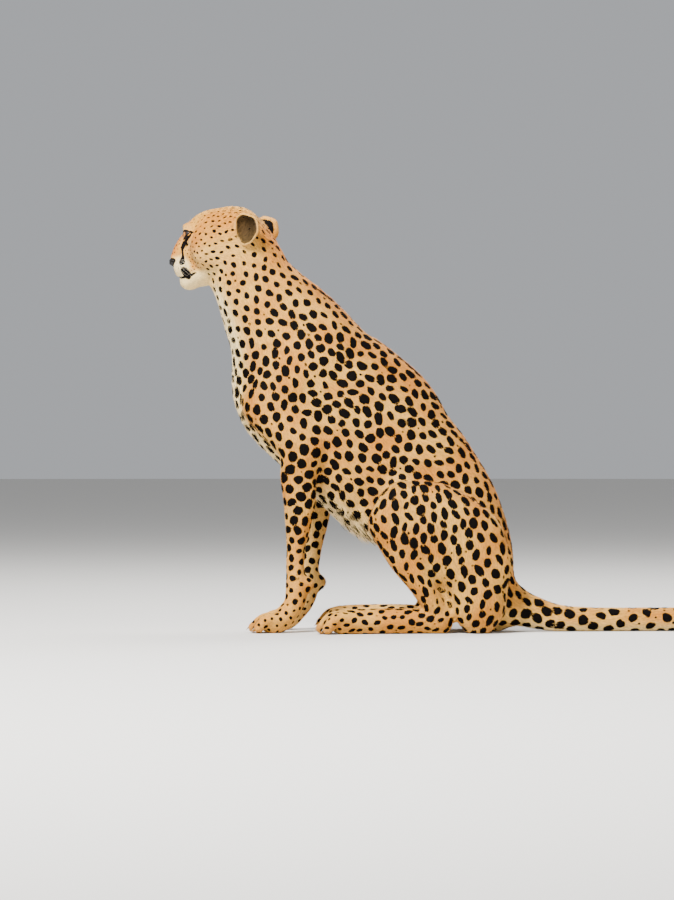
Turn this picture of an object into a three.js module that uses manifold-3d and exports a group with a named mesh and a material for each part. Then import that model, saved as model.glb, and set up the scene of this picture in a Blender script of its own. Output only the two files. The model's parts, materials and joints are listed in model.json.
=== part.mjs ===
// A cheetah sitting upright, life size, as solids that meet along thin cuts.
// Millimetres, +Z up. The nose points to -X and the animal's left side is at -Y.
// The origin is on the floor, at the centre of the animal's own box seen from above.
//
// The body is one smooth field: muscles and limbs are tubes and ovals that flow into each other.
// Each node takes the surface of that field inside its own region, with cells as fine as it needs.

import * as THREE from "three";
import { mergeVertices } from "three/addons/utils/BufferGeometryUtils.js";
import Module from "manifold-3d";

const wasm = await Module();
wasm.setup();

// ---------------------------------------------------------------- driving dimensions

const GAP = 0.3; // between nodes that touch
const TOLERANCE = 0.02; // edges shorter than this are closed up when solids are joined or cut
const LEFT = -1;
const RIGHT = 1;
const SIDES = { left: LEFT, right: RIGHT };

// The trunk from the skull to the tail root: centre x, y, z, half depth, half width.
const TRUNK = [
  [-548, 2, 784, 58, 50],
  [-524, 0, 759, 79, 60],
  [-506, 0, 716, 86, 62],
  [-482, 0, 675, 99, 68],
  [-446, 0, 621, 121, 77],
  [-420, 0, 572, 145, 86],
  [-388, 0, 506, 163, 90],
  [-338, 0, 462, 168, 90],
  [-279, 0, 405, 170, 86],
  [-225, 0, 344, 158, 83],
  [-177, 0, 300, 146, 80],
  [-126, 0, 245, 128, 80],
  [-84, 0, 172, 112, 80],
  [-52, 0, 105, 92, 76],
  [-24, 0, 60, 66, 62],
];

// Shoulder blade and upper arm, from the withers to the point of the shoulder and back to the elbow.
const SHOULDER = [
  [-334, 42, 586, 28, 22],
  [-396, 60, 544, 46, 29],
  [-484, 62, 466, 44, 30],
];
const UPPER_ARM = [
  [-484, 62, 462, 44, 30],
  [-436, 70, 412, 46, 33],
  [-402, 71, 374, 42, 31],
];

// Foreleg from the elbow to the wrist.
const FORELEG = [
  [-402, 71, 376, 42, 31],
  [-412, 70, 322, 38, 30],
  [-410, 67, 270, 34, 28],
  [-413, 63, 220, 27, 25],
  [-418, 59, 168, 19, 21],
  [-419, 57, 128, 19, 21],
  [-416, 56, 92, 23, 25],
  [-421, 57, 58, 22, 24],
  [-438, 58, 34, 23, 26],
];
// The right foreleg stands nearer the tail than the left one, less so at its paw.
const RIGHT_ELBOW_SETBACK = 34;
const RIGHT_PAW_SETBACK = 8;
const STRAIGHT_ABOVE = 160; // the height from which its setback is the elbow's

// Thigh from the haunch forward to the knee, then the shank back down to the heel.
const THIGH = [
  [-38, 84, 130, 70, 42],
  [-82, 90, 178, 92, 46],
  [-150, 100, 224, 88, 44],
  [-208, 108, 248, 68, 36],
];
const SHANK = [
  [-222, 108, 226, 50, 32],
  [-196, 104, 160, 40, 29],
  [-162, 94, 98, 27, 25],
  [-133, 84, 48, 22, 22],
];
const HIND_FOOT = [
  [-124, 82, 25, 28, 22],
  [-160, 85, 24.5, 26.5, 22.5],
  [-205, 90, 24.5, 27, 24],
  [-270, 96, 24, 27, 26],
  [-322, 101, 23, 26, 30],
];

// Tail along the floor: centre x, y, z, half depth, half width.
const TAIL = [
  [-22, 0, 66, 50, 44],
  [18, 0, 56, 42, 37],
  [60, 0, 41, 35, 30],
  [118, 2, 26.5, 28.5, 25.5],
  [205, 8, 23, 25.5, 24.5],
  [357, 16, 23, 25.5, 24.5],
  [470, 6, 22.5, 25, 24],
  [570, -22, 21.5, 24, 23],
  [640, -58, 20, 22.5, 22],
  [664, -74, 15, 17, 15],
];

// Feet: toes of a paw as sideways place, reach beyond the foot's last ring, and lift off the floor.
const TOES = [
  { side: -23, reach: 30, lift: 0 },
  { side: -8.5, reach: 43, lift: 1 },
  { side: 8.5, reach: 44, lift: 1 },
  { side: 23, reach: 32, lift: 0 },
];
const TOE_RADIUS = 11.2;
const HIND_TOE_RISE = 4; // the toes of the hind feet arch higher by this much
const CLAW_LENGTH = 15;
const CLAW_RADIUS = 3;

// Head: its own frame has the nose tip at 0, x towards the back of the skull and z up.
const NOSE_TIP = [-675, 62, 762];
const HEAD_YAW = -24; // degrees, turned to the animal's right
const HEAD_PITCH = -10; // degrees, nose down
const EYE = {
  at: [65.5, 32.5, 38.5],
  radius: 14.5,
  facing: [-0.76, 0.63, 0.12],
  inner: [50, 20, 31],
  outer: [75, 44, 42],
  open: 13,
};
const LID = 2.4;
const EAR = {
  left: [204, 58, 22],
  right: [196, 53, 24],
  facing: [-0.14, 0.96, -0.1],
  tip: [0.3, 0.12, 0.94],
  length: 31.5,
  width: 27.5,
  depth: 19,
  wall: 3.4,
  square: 0.78, // below 1 the tip is broader than an oval's
};
const NOSE_PAD = { at: [6.3, 0, -3.8], size: [10.8, 14.8, 9.2] };
// The line of the mouth from its middle to a corner: x, y, z and how far it opens.
const MOUTH = [
  [9, 0, -37.5, 1.3],
  [14.5, 11, -38.5, 1.6],
  [31, 22, -41, 2.2],
  [50, 27, -42, 2.6],
  [68, 31, -40, 1.3],
];

// Cell sizes of the surfaces, by node. The head's cells grow from the face to the neck.
const CELLS = {
  neck: [24, 24, 24],
  torso: [30, 30, 30],
  foreleg: [12.5, 12.5, 26],
  paw: [10, 10, 10],
  hind_leg: [24, 20, 24],
  hind_foot: [18, 10.6, 10.6],
  tail: [30, 11.5, 11.5],
};
const HEAD_CELLS = {
  x: [[-14, 7.6], [60, 8.6], [100, 15], [270, 19]],
  y: [[-100, 18], [-50, 11], [-20, 8], [20, 8], [50, 11], [100, 18]],
  z: [[-110, 17], [-62, 8.6], [56, 8.6], [110, 15]],
};

// ---------------------------------------------------------------- fields
// A field gives about the distance from a point to a surface, negative inside.

const FAR = 90; // beyond this distance a form has no influence

function smoothMin(a, b, blend) {
  const h = Math.max(blend - Math.abs(a - b), 0) / blend;
  return Math.min(a, b) - (h * h * blend) / 4;
}

function smoothMax(a, b, blend) {
  return -smoothMin(-a, -b, blend);
}

/** Fields that flow into the first one, each with its own width of blending. */
function flow(first, ...others) {
  return (x, y, z) =>
    others.reduce((d, [blend, field]) => smoothMin(d, field(x, y, z), blend), first(x, y, z));
}

/** The distance to an oval whose offset and radii are given along its own axes. */
function ovalDistance(u, v, w, a, b, c) {
  const k0 = Math.hypot(u / a, v / b, w / c);
  if (k0 < 1e-6) return -Math.min(a, b, c);
  return (k0 * (k0 - 1)) / Math.hypot(u / (a * a), v / (b * b), w / (c * c));
}

/** An oval, with its tilt about Y in degrees. */
function oval([cx, cy, cz], [a, b, c], tilt = 0) {
  const cos = Math.cos((tilt * Math.PI) / 180);
  const sin = Math.sin((tilt * Math.PI) / 180);
  return (x, y, z) => {
    const dx = x - cx;
    const dz = z - cz;
    return ovalDistance(cos * dx - sin * dz, y - cy, sin * dx + cos * dz, a, b, c);
  };
}

/** A tube through rings of centre, half depth and half width. Its width lies along Y. */
function tube(rings) {
  const along = new THREE.CatmullRomCurve3(rings.map(([x, y, z]) => new THREE.Vector3(x, y, z)));
  const sizes = new THREE.CatmullRomCurve3(rings.map((r) => new THREE.Vector3(r[3], r[4], 0)));
  const pieces = (rings.length - 1) * 5;
  const centres = [];
  const radii = [];
  for (let i = 0; i <= pieces; i++) {
    centres.push(along.getPoint(i / pieces));
    radii.push(sizes.getPoint(i / pieces));
  }
  const ball = new THREE.Sphere().setFromPoints(centres);
  ball.radius += Math.max(...radii.map((r) => Math.max(r.x, r.y)));
  const tangents = centres.map((_, i) => along.getTangent(i / pieces));
  const segments = [];
  for (let i = 0; i < pieces; i++) {
    const run = centres[i + 1].clone().sub(centres[i]);
    segments.push({ from: centres[i], run, length2: run.lengthSq() });
  }
  const tangent = new THREE.Vector3();
  const side = new THREE.Vector3();
  const up = new THREE.Vector3();
  return (x, y, z) => {
    const reach = Math.hypot(x - ball.center.x, y - ball.center.y, z - ball.center.z) - ball.radius;
    if (reach > FAR) return reach;
    let nearest = Infinity;
    let index = 0;
    let share = 0;
    segments.forEach(({ from, run, length2 }, i) => {
      const px = x - from.x;
      const py = y - from.y;
      const pz = z - from.z;
      const t = Math.min(1, Math.max(0, (px * run.x + py * run.y + pz * run.z) / length2));
      const d = (px - t * run.x) ** 2 + (py - t * run.y) ** 2 + (pz - t * run.z) ** 2;
      if (d < nearest) {
        nearest = d;
        index = i;
        share = t;
      }
    });
    const { from, run } = segments[index];
    const a = radii[index].x + share * (radii[index + 1].x - radii[index].x);
    const b = radii[index].y + share * (radii[index + 1].y - radii[index].y);
    const dx = x - from.x - share * run.x;
    const dy = y - from.y - share * run.y;
    const dz = z - from.z - share * run.z;
    tangent.lerpVectors(tangents[index], tangents[index + 1], share).normalize();
    side.set(0, 1, 0).addScaledVector(tangent, -tangent.y).normalize();
    up.crossVectors(tangent, side);
    return ovalDistance(
      dx * up.x + dy * up.y + dz * up.z,
      dx * side.x + dy * side.y + dz * side.z,
      dx * tangent.x + dy * tangent.y + dz * tangent.z,
      a,
      b,
      (a + b) / 2,
    );
  };
}

/** How much nearer the tail a foreleg of one side stands at a height. */
function setback(side, z) {
  if (side === LEFT) return 0;
  const share = Math.min(z / STRAIGHT_ABOVE, 1);
  return RIGHT_PAW_SETBACK + (RIGHT_ELBOW_SETBACK - RIGHT_PAW_SETBACK) * share;
}

/** Rings of one side of the body: their y is turned to that side and x takes a share of the setback. */
function onSide(rings, side, share = 0) {
  return rings.map(([x, y, z, ...rest]) => [x + share * setback(side, z), side * y, z, ...rest]);
}

// ---------------------------------------------------------------- surfaces

/** Even coordinates from low to high. */
function even(low, high, cell) {
  const count = Math.ceil((high - low) / cell);
  return Array.from({ length: count + 1 }, (_, i) => low + i * cell);
}

/** Coordinates whose steps change between stops of position and step. */
function graded(stops) {
  const places = [stops[0][0]];
  for (let i = 0; i < stops.length - 1; i++) {
    const [from, start] = stops[i];
    const [to, end] = stops[i + 1];
    while (places.at(-1) < to) {
      const share = Math.min(1, (places.at(-1) - from) / (to - from));
      places.push(places.at(-1) + start + share * (end - start));
    }
  }
  return places;
}

/** The closed surface of a field over a grid, with one vertex for each cell that it crosses. */
function surface(field, grid) {
  const [nx, ny, nz] = grid.map((places) => places.length);
  const id = (i, j, k) => (k * ny + j) * nx + i;
  const cell = Math.min(...grid.map((places) => places[2] - places[1]));
  const value = new Float32Array(nx * ny * nz);
  for (let k = 0; k < nz; k++)
    for (let j = 0; j < ny; j++)
      for (let i = 0; i < nx; i++) {
        const edge = i * j * k === 0 || i === nx - 1 || j === ny - 1 || k === nz - 1;
        const d = field(grid[0][i], grid[1][j], grid[2][k]);
        value[id(i, j, k)] = edge ? Math.max(d, 0.01) : d;
      }
  closeSaddles(value, id, [nx, ny, nz]);
  const vertexOf = new Int32Array(nx * ny * nz).fill(-1);
  const points = [];
  for (let k = 0; k < nz - 1; k++)
    for (let j = 0; j < ny - 1; j++)
      for (let i = 0; i < nx - 1; i++) {
        const point = crossing(value, id, grid, [i, j, k]);
        if (!point) continue;
        const rim = i * j * k === 0 || i === nx - 2 || j === ny - 2 || k === nz - 2;
        if (!rim) settle(field, point, cell * 0.45);
        vertexOf[id(i, j, k)] = points.length / 3;
        points.push(...point);
      }
  const faces = [];
  const axes = [
    [1, 0, 0],
    [0, 1, 0],
    [0, 0, 1],
  ];
  for (let k = 0; k < nz - 1; k++)
    for (let j = 0; j < ny - 1; j++)
      for (let i = 0; i < nx - 1; i++)
        axes.forEach((step, axis) => {
          const inside = value[id(i, j, k)] < 0;
          if (inside === value[id(i + step[0], j + step[1], k + step[2])] < 0) return;
          const u = axes[(axis + 1) % 3];
          const v = axes[(axis + 2) % 3];
          const corner = (a, b) =>
            vertexOf[id(i - a * u[0] - b * v[0], j - a * u[1] - b * v[1], k - a * u[2] - b * v[2])];
          const quad = [corner(0, 0), corner(1, 0), corner(1, 1), corner(0, 1)];
          addQuad(points, faces, inside ? quad : quad.reverse());
        });
  return new THREE.BufferGeometry()
    .setAttribute("position", new THREE.Float32BufferAttribute(points, 3))
    .setIndex(faces);
}

/** Fills a corner wherever two sheets of the surface would meet along one edge of its mesh. */
function closeSaddles(value, id, [nx, ny, nz]) {
  const planes = [
    [id(1, 0, 0), id(0, 1, 0)],
    [id(0, 1, 0), id(0, 0, 1)],
    [id(0, 0, 1), id(1, 0, 0)],
  ];
  let changed = true;
  while (changed) {
    changed = false;
    for (let k = 1; k < nz - 2; k++)
      for (let j = 1; j < ny - 2; j++)
        for (let i = 1; i < nx - 2; i++)
          for (const [u, v] of planes) {
            const at = id(i, j, k);
            const around = [at, at + u, at + u + v, at + v];
            const outside = around.filter((n) => value[n] >= 0);
            if (outside.length !== 2 || value[around[0]] < 0 !== value[around[2]] < 0) continue;
            value[value[outside[0]] < value[outside[1]] ? outside[0] : outside[1]] = -0.01;
            changed = true;
          }
  }
}

/** The mean of the places where a cell's edges cross the surface, or null where none does. */
function crossing(value, id, grid, base) {
  const sum = [0, 0, 0];
  let found = 0;
  for (let corner = 0; corner < 8; corner++)
    for (let axis = 0; axis < 3; axis++) {
      if ((corner >> axis) & 1) continue;
      const from = base.map((v, n) => v + ((corner >> n) & 1));
      const to = from.map((v, n) => v + (n === axis ? 1 : 0));
      const a = value[id(...from)];
      const b = value[id(...to)];
      if (a < 0 === b < 0) continue;
      const share = a / (a - b);
      grid.forEach((places, n) => {
        sum[n] += places[from[n]] + share * (places[to[n]] - places[from[n]]);
      });
      found++;
    }
  return found ? sum.map((v) => v / found) : null;
}

/** Moves a point onto a field's surface along its slope, by no more than the given reach. */
function settle(field, point, reach) {
  const nudge = 0.5;
  const start = [...point];
  for (let turn = 0; turn < 3; turn++) {
    const d = field(...point);
    const slope = [0, 1, 2].map((n) => {
      const ahead = [...point];
      ahead[n] += nudge;
      return (field(...ahead) - d) / nudge;
    });
    const steepness = slope.reduce((s, v) => s + v * v, 0);
    if (steepness < 1e-6) return;
    slope.forEach((v, n) => {
      point[n] = Math.min(start[n] + reach, Math.max(start[n] - reach, point[n] - (d * v) / steepness));
    });
  }
}

/** Adds a quad as two triangles, split along its shorter diagonal. */
function addQuad(points, faces, [a, b, c, d]) {
  const apart = (p, q) =>
    Math.hypot(...[0, 1, 2].map((n) => points[p * 3 + n] - points[q * 3 + n]));
  if (apart(a, c) < apart(b, d)) faces.push(a, b, c, a, c, d);
  else faces.push(a, b, d, b, c, d);
}

/** A closed round form along points, with a radius at each: a claw, a groove or a lip. */
function sweep(points, radii, sides) {
  const positions = [];
  const faces = [];
  const side = new THREE.Vector3();
  const up = new THREE.Vector3();
  points.forEach((point, i) => {
    const ahead = points[Math.min(i + 1, points.length - 1)];
    const behind = points[Math.max(i - 1, 0)];
    const tangent = ahead.clone().sub(behind).normalize();
    const helper = Math.abs(tangent.z) < 0.9 ? new THREE.Vector3(0, 0, 1) : new THREE.Vector3(1, 0, 0);
    side.crossVectors(tangent, helper).normalize();
    up.crossVectors(side, tangent);
    for (let s = 0; s < sides; s++) {
      const angle = (s / sides) * 2 * Math.PI;
      const p = point
        .clone()
        .addScaledVector(side, radii[i] * Math.cos(angle))
        .addScaledVector(up, radii[i] * Math.sin(angle));
      positions.push(p.x, p.y, p.z);
    }
  });
  const last = (points.length - 1) * sides;
  for (let s = 0; s < sides; s++) {
    const next = (s + 1) % sides;
    for (let i = 0; i < points.length - 1; i++) {
      const a = i * sides;
      const b = a + sides;
      faces.push(a + s, b + s, a + next, a + next, b + s, b + next);
    }
    if (s > 0 && s < sides - 1) {
      faces.push(0, s, s + 1);
      faces.push(last, last + s + 1, last + s);
    }
  }
  return new THREE.BufferGeometry()
    .setAttribute("position", new THREE.Float32BufferAttribute(positions, 3))
    .setIndex(faces);
}

// ---------------------------------------------------------------- solids

/** A manifold-3d solid of a closed geometry, turned so that its faces point out. */
function solid(geometry) {
  const bare = geometry.clone();
  bare.deleteAttribute("normal");
  bare.deleteAttribute("uv");
  const merged = mergeVertices(bare, 1e-4);
  const triVerts = new Uint32Array(merged.index.array);
  const vertProperties = merged.attributes.position.array;
  const make = () =>
    new wasm.Manifold(
      new wasm.Mesh({ numProp: 3, vertProperties, triVerts, tolerance: TOLERANCE }),
    );
  const made = make();
  if (made.volume() > 0) return made;
  for (let i = 0; i < triVerts.length; i += 3)
    [triVerts[i + 1], triVerts[i + 2]] = [triVerts[i + 2], triVerts[i + 1]];
  return make();
}

/** The largest closed body of a solid, with any sealed hollow filled. */
function largest(made) {
  return made.decompose().reduce((a, b) => (b.volume() > a.volume() ? b : a));
}

const BIG = 3000;

/** All of space on the side of a plane that its normal points to. */
function halfSpace(point, normal) {
  const box = new THREE.BoxGeometry(BIG, BIG, BIG).translate(0, 0, BIG / 2);
  const turn = new THREE.Quaternion().setFromUnitVectors(
    new THREE.Vector3(0, 0, 1),
    new THREE.Vector3(...normal).normalize(),
  );
  return solid(box.applyQuaternion(turn).translate(...point));
}

/** Splits off what lies behind and ahead of a plane, half the gap to each side. */
function planeSides(point, normal) {
  const n = new THREE.Vector3(...normal).normalize();
  const at = (offset) => new THREE.Vector3(...point).addScaledVector(n, offset).toArray();
  return {
    ahead: halfSpace(at(GAP / 2), n.toArray()),
    behind: halfSpace(at(-GAP / 2), n.clone().negate().toArray()),
  };
}

/** An outline in X and Z, drawn out along Y from one distance to another on one side. */
function prism(outline, side, from, to, grow = 0) {
  const shape = new THREE.Shape(outline.map(([x, z]) => new THREE.Vector2(x, z)));
  const geometry = new THREE.ExtrudeGeometry(shape, {
    depth: to - from,
    steps: 1,
    bevelEnabled: grow > 0,
    bevelThickness: grow,
    bevelSize: grow,
    bevelSegments: 1,
  });
  // The extrusion's own z becomes the distance from the middle of the body.
  geometry.rotateX(Math.PI / 2).translate(0, -from, 0);
  if (side === RIGHT) geometry.scale(1, -1, 1);
  return solid(geometry);
}

// ---------------------------------------------------------------- the body's field

function foot(rings, side, share, rise) {
  const [x, y, z] = rings.at(-1);
  const heading = [x - rings.at(-2)[0], y - rings.at(-2)[1]];
  const length = Math.hypot(...heading);
  const ahead = new THREE.Vector3(heading[0] / length, (side * heading[1]) / length, 0);
  const across = new THREE.Vector3(-ahead.y, ahead.x, 0);
  return { at: new THREE.Vector3(x + share * setback(side, z), side * y, z), ahead, across, rise };
}

/** The points of a toe from inside the foot to its tip. */
function toePoints({ at, ahead, across, rise }, toe) {
  const point = (forward, sideways, z) =>
    at.clone().addScaledVector(ahead, forward).addScaledVector(across, sideways).setZ(z);
  return [
    point(-14, toe.side * 0.75, 27 + rise),
    point(toe.reach * 0.5, toe.side, 26 + toe.lift + rise),
    point(toe.reach, toe.side * 1.04, 10.5 + toe.lift),
  ];
}

function toeField(place, toe) {
  const [root, knuckle, tip] = toePoints(place, toe);
  const ring = (p, r) => [...p.toArray(), r + place.rise / 5, r + place.rise / 5];
  return tube([ring(root, TOE_RADIUS), ring(knuckle, TOE_RADIUS + 1.2), ring(tip, TOE_RADIUS - 0.6)]);
}

/** A curved, blunt claw that leaves the top of a toe's tip and points ahead and down. */
function claw(place, toe) {
  const tip = toePoints(place, toe)[2];
  const along = [-0.35, 0.2, 0.7, 1].map((t) =>
    tip
      .clone()
      .addScaledVector(place.ahead, CLAW_LENGTH * t)
      .add(new THREE.Vector3(0, 0, 4 - 10.5 * Math.max(t, 0) ** 2)),
  );
  return solid(sweep(along, [CLAW_RADIUS, CLAW_RADIUS, CLAW_RADIUS * 0.65, 0.5], 6));
}

const feet = {};
for (const [name, side] of Object.entries(SIDES)) {
  feet["fore_" + name] = foot(FORELEG, side, 1, 0);
  feet["hind_" + name] = foot(HIND_FOOT, side, 0, HIND_TOE_RISE);
}
// The forefeet point straight ahead.
for (const name of ["fore_left", "fore_right"]) {
  feet[name].at.x -= 22;
  feet[name].ahead.set(-1, 0, 0);
  feet[name].across.set(0, -1, 0);
}

function toesOf(name) {
  return TOES.map((toe) => toeField(feet[name], toe));
}

function forelegField(side) {
  const name = side === LEFT ? "fore_left" : "fore_right";
  const { at } = feet[name];
  return flow(
    tube(onSide(FORELEG, side, 1)),
    [14, oval([-394 + setback(side, 98), side * 56, 98], [14, 13, 15])],
    [14, oval([at.x - 2, at.y, 20], [30, 29, 24])],
    ...toesOf(name).map((toe) => [5, toe]),
  );
}

function hindLegField(side) {
  const name = side === LEFT ? "hind_left" : "hind_right";
  const leg = flow(
    tube(onSide(THIGH, side)),
    [22, oval([-46, side * 80, 78], [58, 46, 84])],
    [16, tube(onSide(SHANK, side))],
  );
  const lower = flow(
    tube(onSide(HIND_FOOT, side)),
    [12, oval([-122, side * 81, 30], [19, 19, 26], -10)],
    ...toesOf(name).map((toe) => [5, toe]),
  );
  return flow(leg, [7, lower]);
}

const headTurn = new THREE.Matrix4().makeRotationFromEuler(
  new THREE.Euler(
    0,
    THREE.MathUtils.degToRad(HEAD_PITCH),
    THREE.MathUtils.degToRad(HEAD_YAW),
    "ZYX",
  ),
);
const headPlace = headTurn.clone().setPosition(...NOSE_TIP);

/** The head's field in its own frame. Both sides are alike, so y is taken as a distance. */
function headShape() {
  const bridge = tube([
    [84, 0, 38, 33, 36],
    [50, 0, 31, 24, 23],
    [27, 0, 17, 19.5, 17],
    [13, 0, 4, 15, 13.5],
  ]);
  const jaw = tube([
    [122, 33, -20, 24, 20],
    [76, 21, -42, 19, 17],
    [36, 8, -50, 15, 15],
  ]);
  const skull = flow(
    oval([124, 0, 36], [66, 54, 50]),
    [24, oval([90, 0, 43], [40, 42, 36])],
    [30, oval([166, 0, 22], [44, 51, 50])],
    [26, oval([108, 37, 4], [40, 25, 36])],
    [24, oval([114, 36, -14], [37, 22, 31])],
    [16, bridge],
    [20, oval([64, 19, 3], [28, 15, 20])],
    [14, oval([67, 27, 53], [18, 13, 8], 30)],
    [12, oval([30, 14.5, -19], [21, 16, 18])],
    [9, oval([17.5, 0, -23], [15, 14, 15.5])],
    [16, jaw],
    [9, oval([31, 0, -50], [19.5, 17, 17])],
    [20, oval([86, 0, -28], [46, 30, 34])],
    [18, oval([186, 40, 22], [22, 20, 30])],
  );
  const socket = oval([46, 27, 33], [11, 8, 10]);
  const [ex, ey, ez] = EYE.at;
  const lids = oval([ex, ey, ez], Array(3).fill(EYE.radius + LID));
  return (x, y, z) => {
    const w = Math.sqrt(y * y + 4); // rounds the crease at the middle
    return smoothMin(smoothMax(skull(x, w, z), -socket(x, w, z), 12), lids(x, w, z), 7);
  };
}

const headLocal = headShape();
const toHead = headPlace.clone().invert();

function headField(x, y, z) {
  const e = toHead.elements;
  const hx = e[0] * x + e[4] * y + e[8] * z + e[12];
  const hy = e[1] * x + e[5] * y + e[9] * z + e[13];
  const hz = e[2] * x + e[6] * y + e[10] * z + e[14];
  if (Math.hypot(hx - 100, hy, hz) > 220) return FAR;
  return headLocal(hx, hy, hz);
}

const shoulders = Object.values(SIDES).map((side) =>
  flow(tube(onSide(SHOULDER, side, 0.5)), [20, tube(onSide(UPPER_ARM, side, 0.5))]),
);

const body = flow(
  tube(TRUNK),
  ...shoulders.map((field) => [26, field]),
  [26, tube(TAIL)],
  ...Object.values(SIDES).map((side) => [18, forelegField(side)]),
  ...Object.values(SIDES).map((side) => [16, hindLegField(side)]),
  [24, headField],
);

// ---------------------------------------------------------------- regions

const headCut = planeSides([-525, 0, 754], [-0.613, 0, 0.793]);
const neckCut = planeSides([-454, 0, 644], [-0.223, 0, 0.975]);
const tailCut = planeSides([26, 0, 58], [0.938, 0, -0.346]);
const tailMiddleCut = planeSides([250, 0, 24], [1, 0, -0.05]);
const tailTipCut = planeSides([500, 0, 24], [1, -0.2, 0]);
const floor = halfSpace([0, 0, 0], [0, 0, 1]);

const FORELEG_OUTLINE = [
  [-490, 369],
  [-410, 392],
  [-361, 379],
  [-357, 228],
  [-357, -40],
  [-564, -40],
  [-564, 64],
  [-490, 64],
];
const WRIST_HEIGHT = 52;
const FORELEG_INNER = 28;

const HIND_LEG_OUTLINE = [
  [-279, 205],
  [-282, 269],
  [-268, 299],
  [-246, 318],
  [-215, 329],
  [-180, 325],
  [-144, 313],
  [-103, 306],
  [-62, 289],
  [-25, 262],
  [8, 222],
  [34, 160],
  [50, 100],
  [54, -40],
  [-410, -40],
  [-410, 64],
  [-279, 64],
];
const HIND_LEG_INNER = 58;
const ANKLE_OUTLINE = [
  [-410, -40],
  [-98, -40],
  [-98, 66],
  [-410, 66],
];
const OUTER = 260;

function forelegOutline(side) {
  const back = side === RIGHT ? RIGHT_ELBOW_SETBACK : 0;
  return FORELEG_OUTLINE.map(([x, z]) => [x + back, z]);
}

function legRegions(grow) {
  return Object.values(SIDES).flatMap((side) => [
    prism(forelegOutline(side), side, FORELEG_INNER, OUTER, grow),
    prism(HIND_LEG_OUTLINE, side, HIND_LEG_INNER, OUTER, grow),
  ]);
}

// ---------------------------------------------------------------- nodes

const coat = new THREE.MeshStandardMaterial({ color: 0xd9a566, roughness: 0.9 });
const eyeMaterial = new THREE.MeshStandardMaterial({ color: 0xb0701c, roughness: 0.1 });
const leather = new THREE.MeshStandardMaterial({ color: 0x1c1614, roughness: 0.55 });

const cheetah = new THREE.Group();
cheetah.name = "cheetah";

function addNode(name, made, material) {
  const mesh = largest(made).getMesh();
  const geometry = new THREE.BufferGeometry()
    .setAttribute("position", new THREE.Float32BufferAttribute(mesh.vertProperties, 3))
    .setIndex(new THREE.BufferAttribute(mesh.triVerts, 1));
  geometry.computeVertexNormals();
  const node = new THREE.Mesh(geometry, material);
  node.name = name;
  cheetah.add(node);
}

/** The body's solid inside a box, above the floor. */
function bodySolid(low, high, cell) {
  const grid = low.map((from, n) => even(from, high[n], cell[n]));
  return solid(surface(body, grid)).intersect(floor);
}

function inHead(geometry) {
  return solid(geometry.applyMatrix4(headPlace));
}

/** An eyeball, grown by a gap where it is used as a cutter. */
function eyeball(side, grow = 0) {
  const [x, y, z] = EYE.at;
  return inHead(
    new THREE.SphereGeometry(EYE.radius + grow, 12, 8).rotateX(Math.PI / 2).translate(x, side * y, z),
  );
}

/** A frame at a place on one side of the head: z faces out along the given direction, x runs along. */
function sideFrame(at, facing, along, side) {
  const turned = ([x, y, z]) => new THREE.Vector3(x, side * y, z);
  const out = turned(facing).normalize();
  const long = turned(along);
  long.addScaledVector(out, -long.dot(out)).normalize();
  const across = new THREE.Vector3().crossVectors(out, long);
  return new THREE.Matrix4().makeBasis(long, across, out).setPosition(turned(at));
}

/** The almond opening between the lids, as a cutter that runs from the eyeball outwards. */
function eyeOpening(side) {
  const { at, facing, inner, outer, open } = EYE;
  const along = outer.map((v, n) => v - inner[n]);
  const half = Math.hypot(...along) / 2 - 2;
  const almond = new THREE.Shape()
    .moveTo(-half, 0)
    .quadraticCurveTo(0, open, half, 0)
    .quadraticCurveTo(0, -open, -half, 0);
  const cutter = new THREE.ExtrudeGeometry(almond, {
    depth: 24,
    bevelEnabled: false,
    curveSegments: 7,
  });
  return inHead(cutter.applyMatrix4(sideFrame(at, facing, along, side)));
}

/** A rounded ear: a bowl with an oval rim, sunk in the side of the head at its front. */
function ear(side, grow = 0) {
  const { facing, tip, width, length, depth, wall, square } = EAR;
  const at = side === LEFT ? EAR.left : EAR.right;
  const bend = (share, size) => [Math.sin((share * Math.PI) / 2), -Math.cos((share * Math.PI) / 2) * size];
  const outer = [0, 1, 2, 3, 4, 5].map((i) => bend(i / 5, depth + grow));
  const inner = grow ? [[0, 1]] : [4, 3, 2, 1, 0].map((i) => bend(i / 5, depth - wall));
  const profile = [
    ...outer.map(([r, h]) => new THREE.Vector2(r * (1 + grow / width), h)),
    new THREE.Vector2(1 - (0.4 * wall) / width, wall * 0.6 + grow),
    ...inner.map(([r, h]) => new THREE.Vector2(r * (1 - wall / width), h)),
  ];
  // The lathe's axis is Y and becomes the frame's z, which faces out of the ear.
  const bowl = new THREE.LatheGeometry(profile, 14).rotateX(Math.PI / 2);
  const places = bowl.getAttribute("position");
  for (let i = 0; i < places.count; i++) {
    const [x, y] = [places.getX(i), places.getY(i)];
    const share = Math.hypot(x, y) || 1;
    const [along, across] = [x / share, y / share];
    const power = along > 0 ? square : 1;
    const root = 1 - 0.15 * Math.max(-along, 0);
    places.setX(i, share * Math.sign(along) * Math.abs(along) ** power * length);
    places.setY(i, share * Math.sign(across) * Math.abs(across) ** power * width * root);
  }
  return inHead(bowl.applyMatrix4(sideFrame(at, facing, tip, side)));
}

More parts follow.
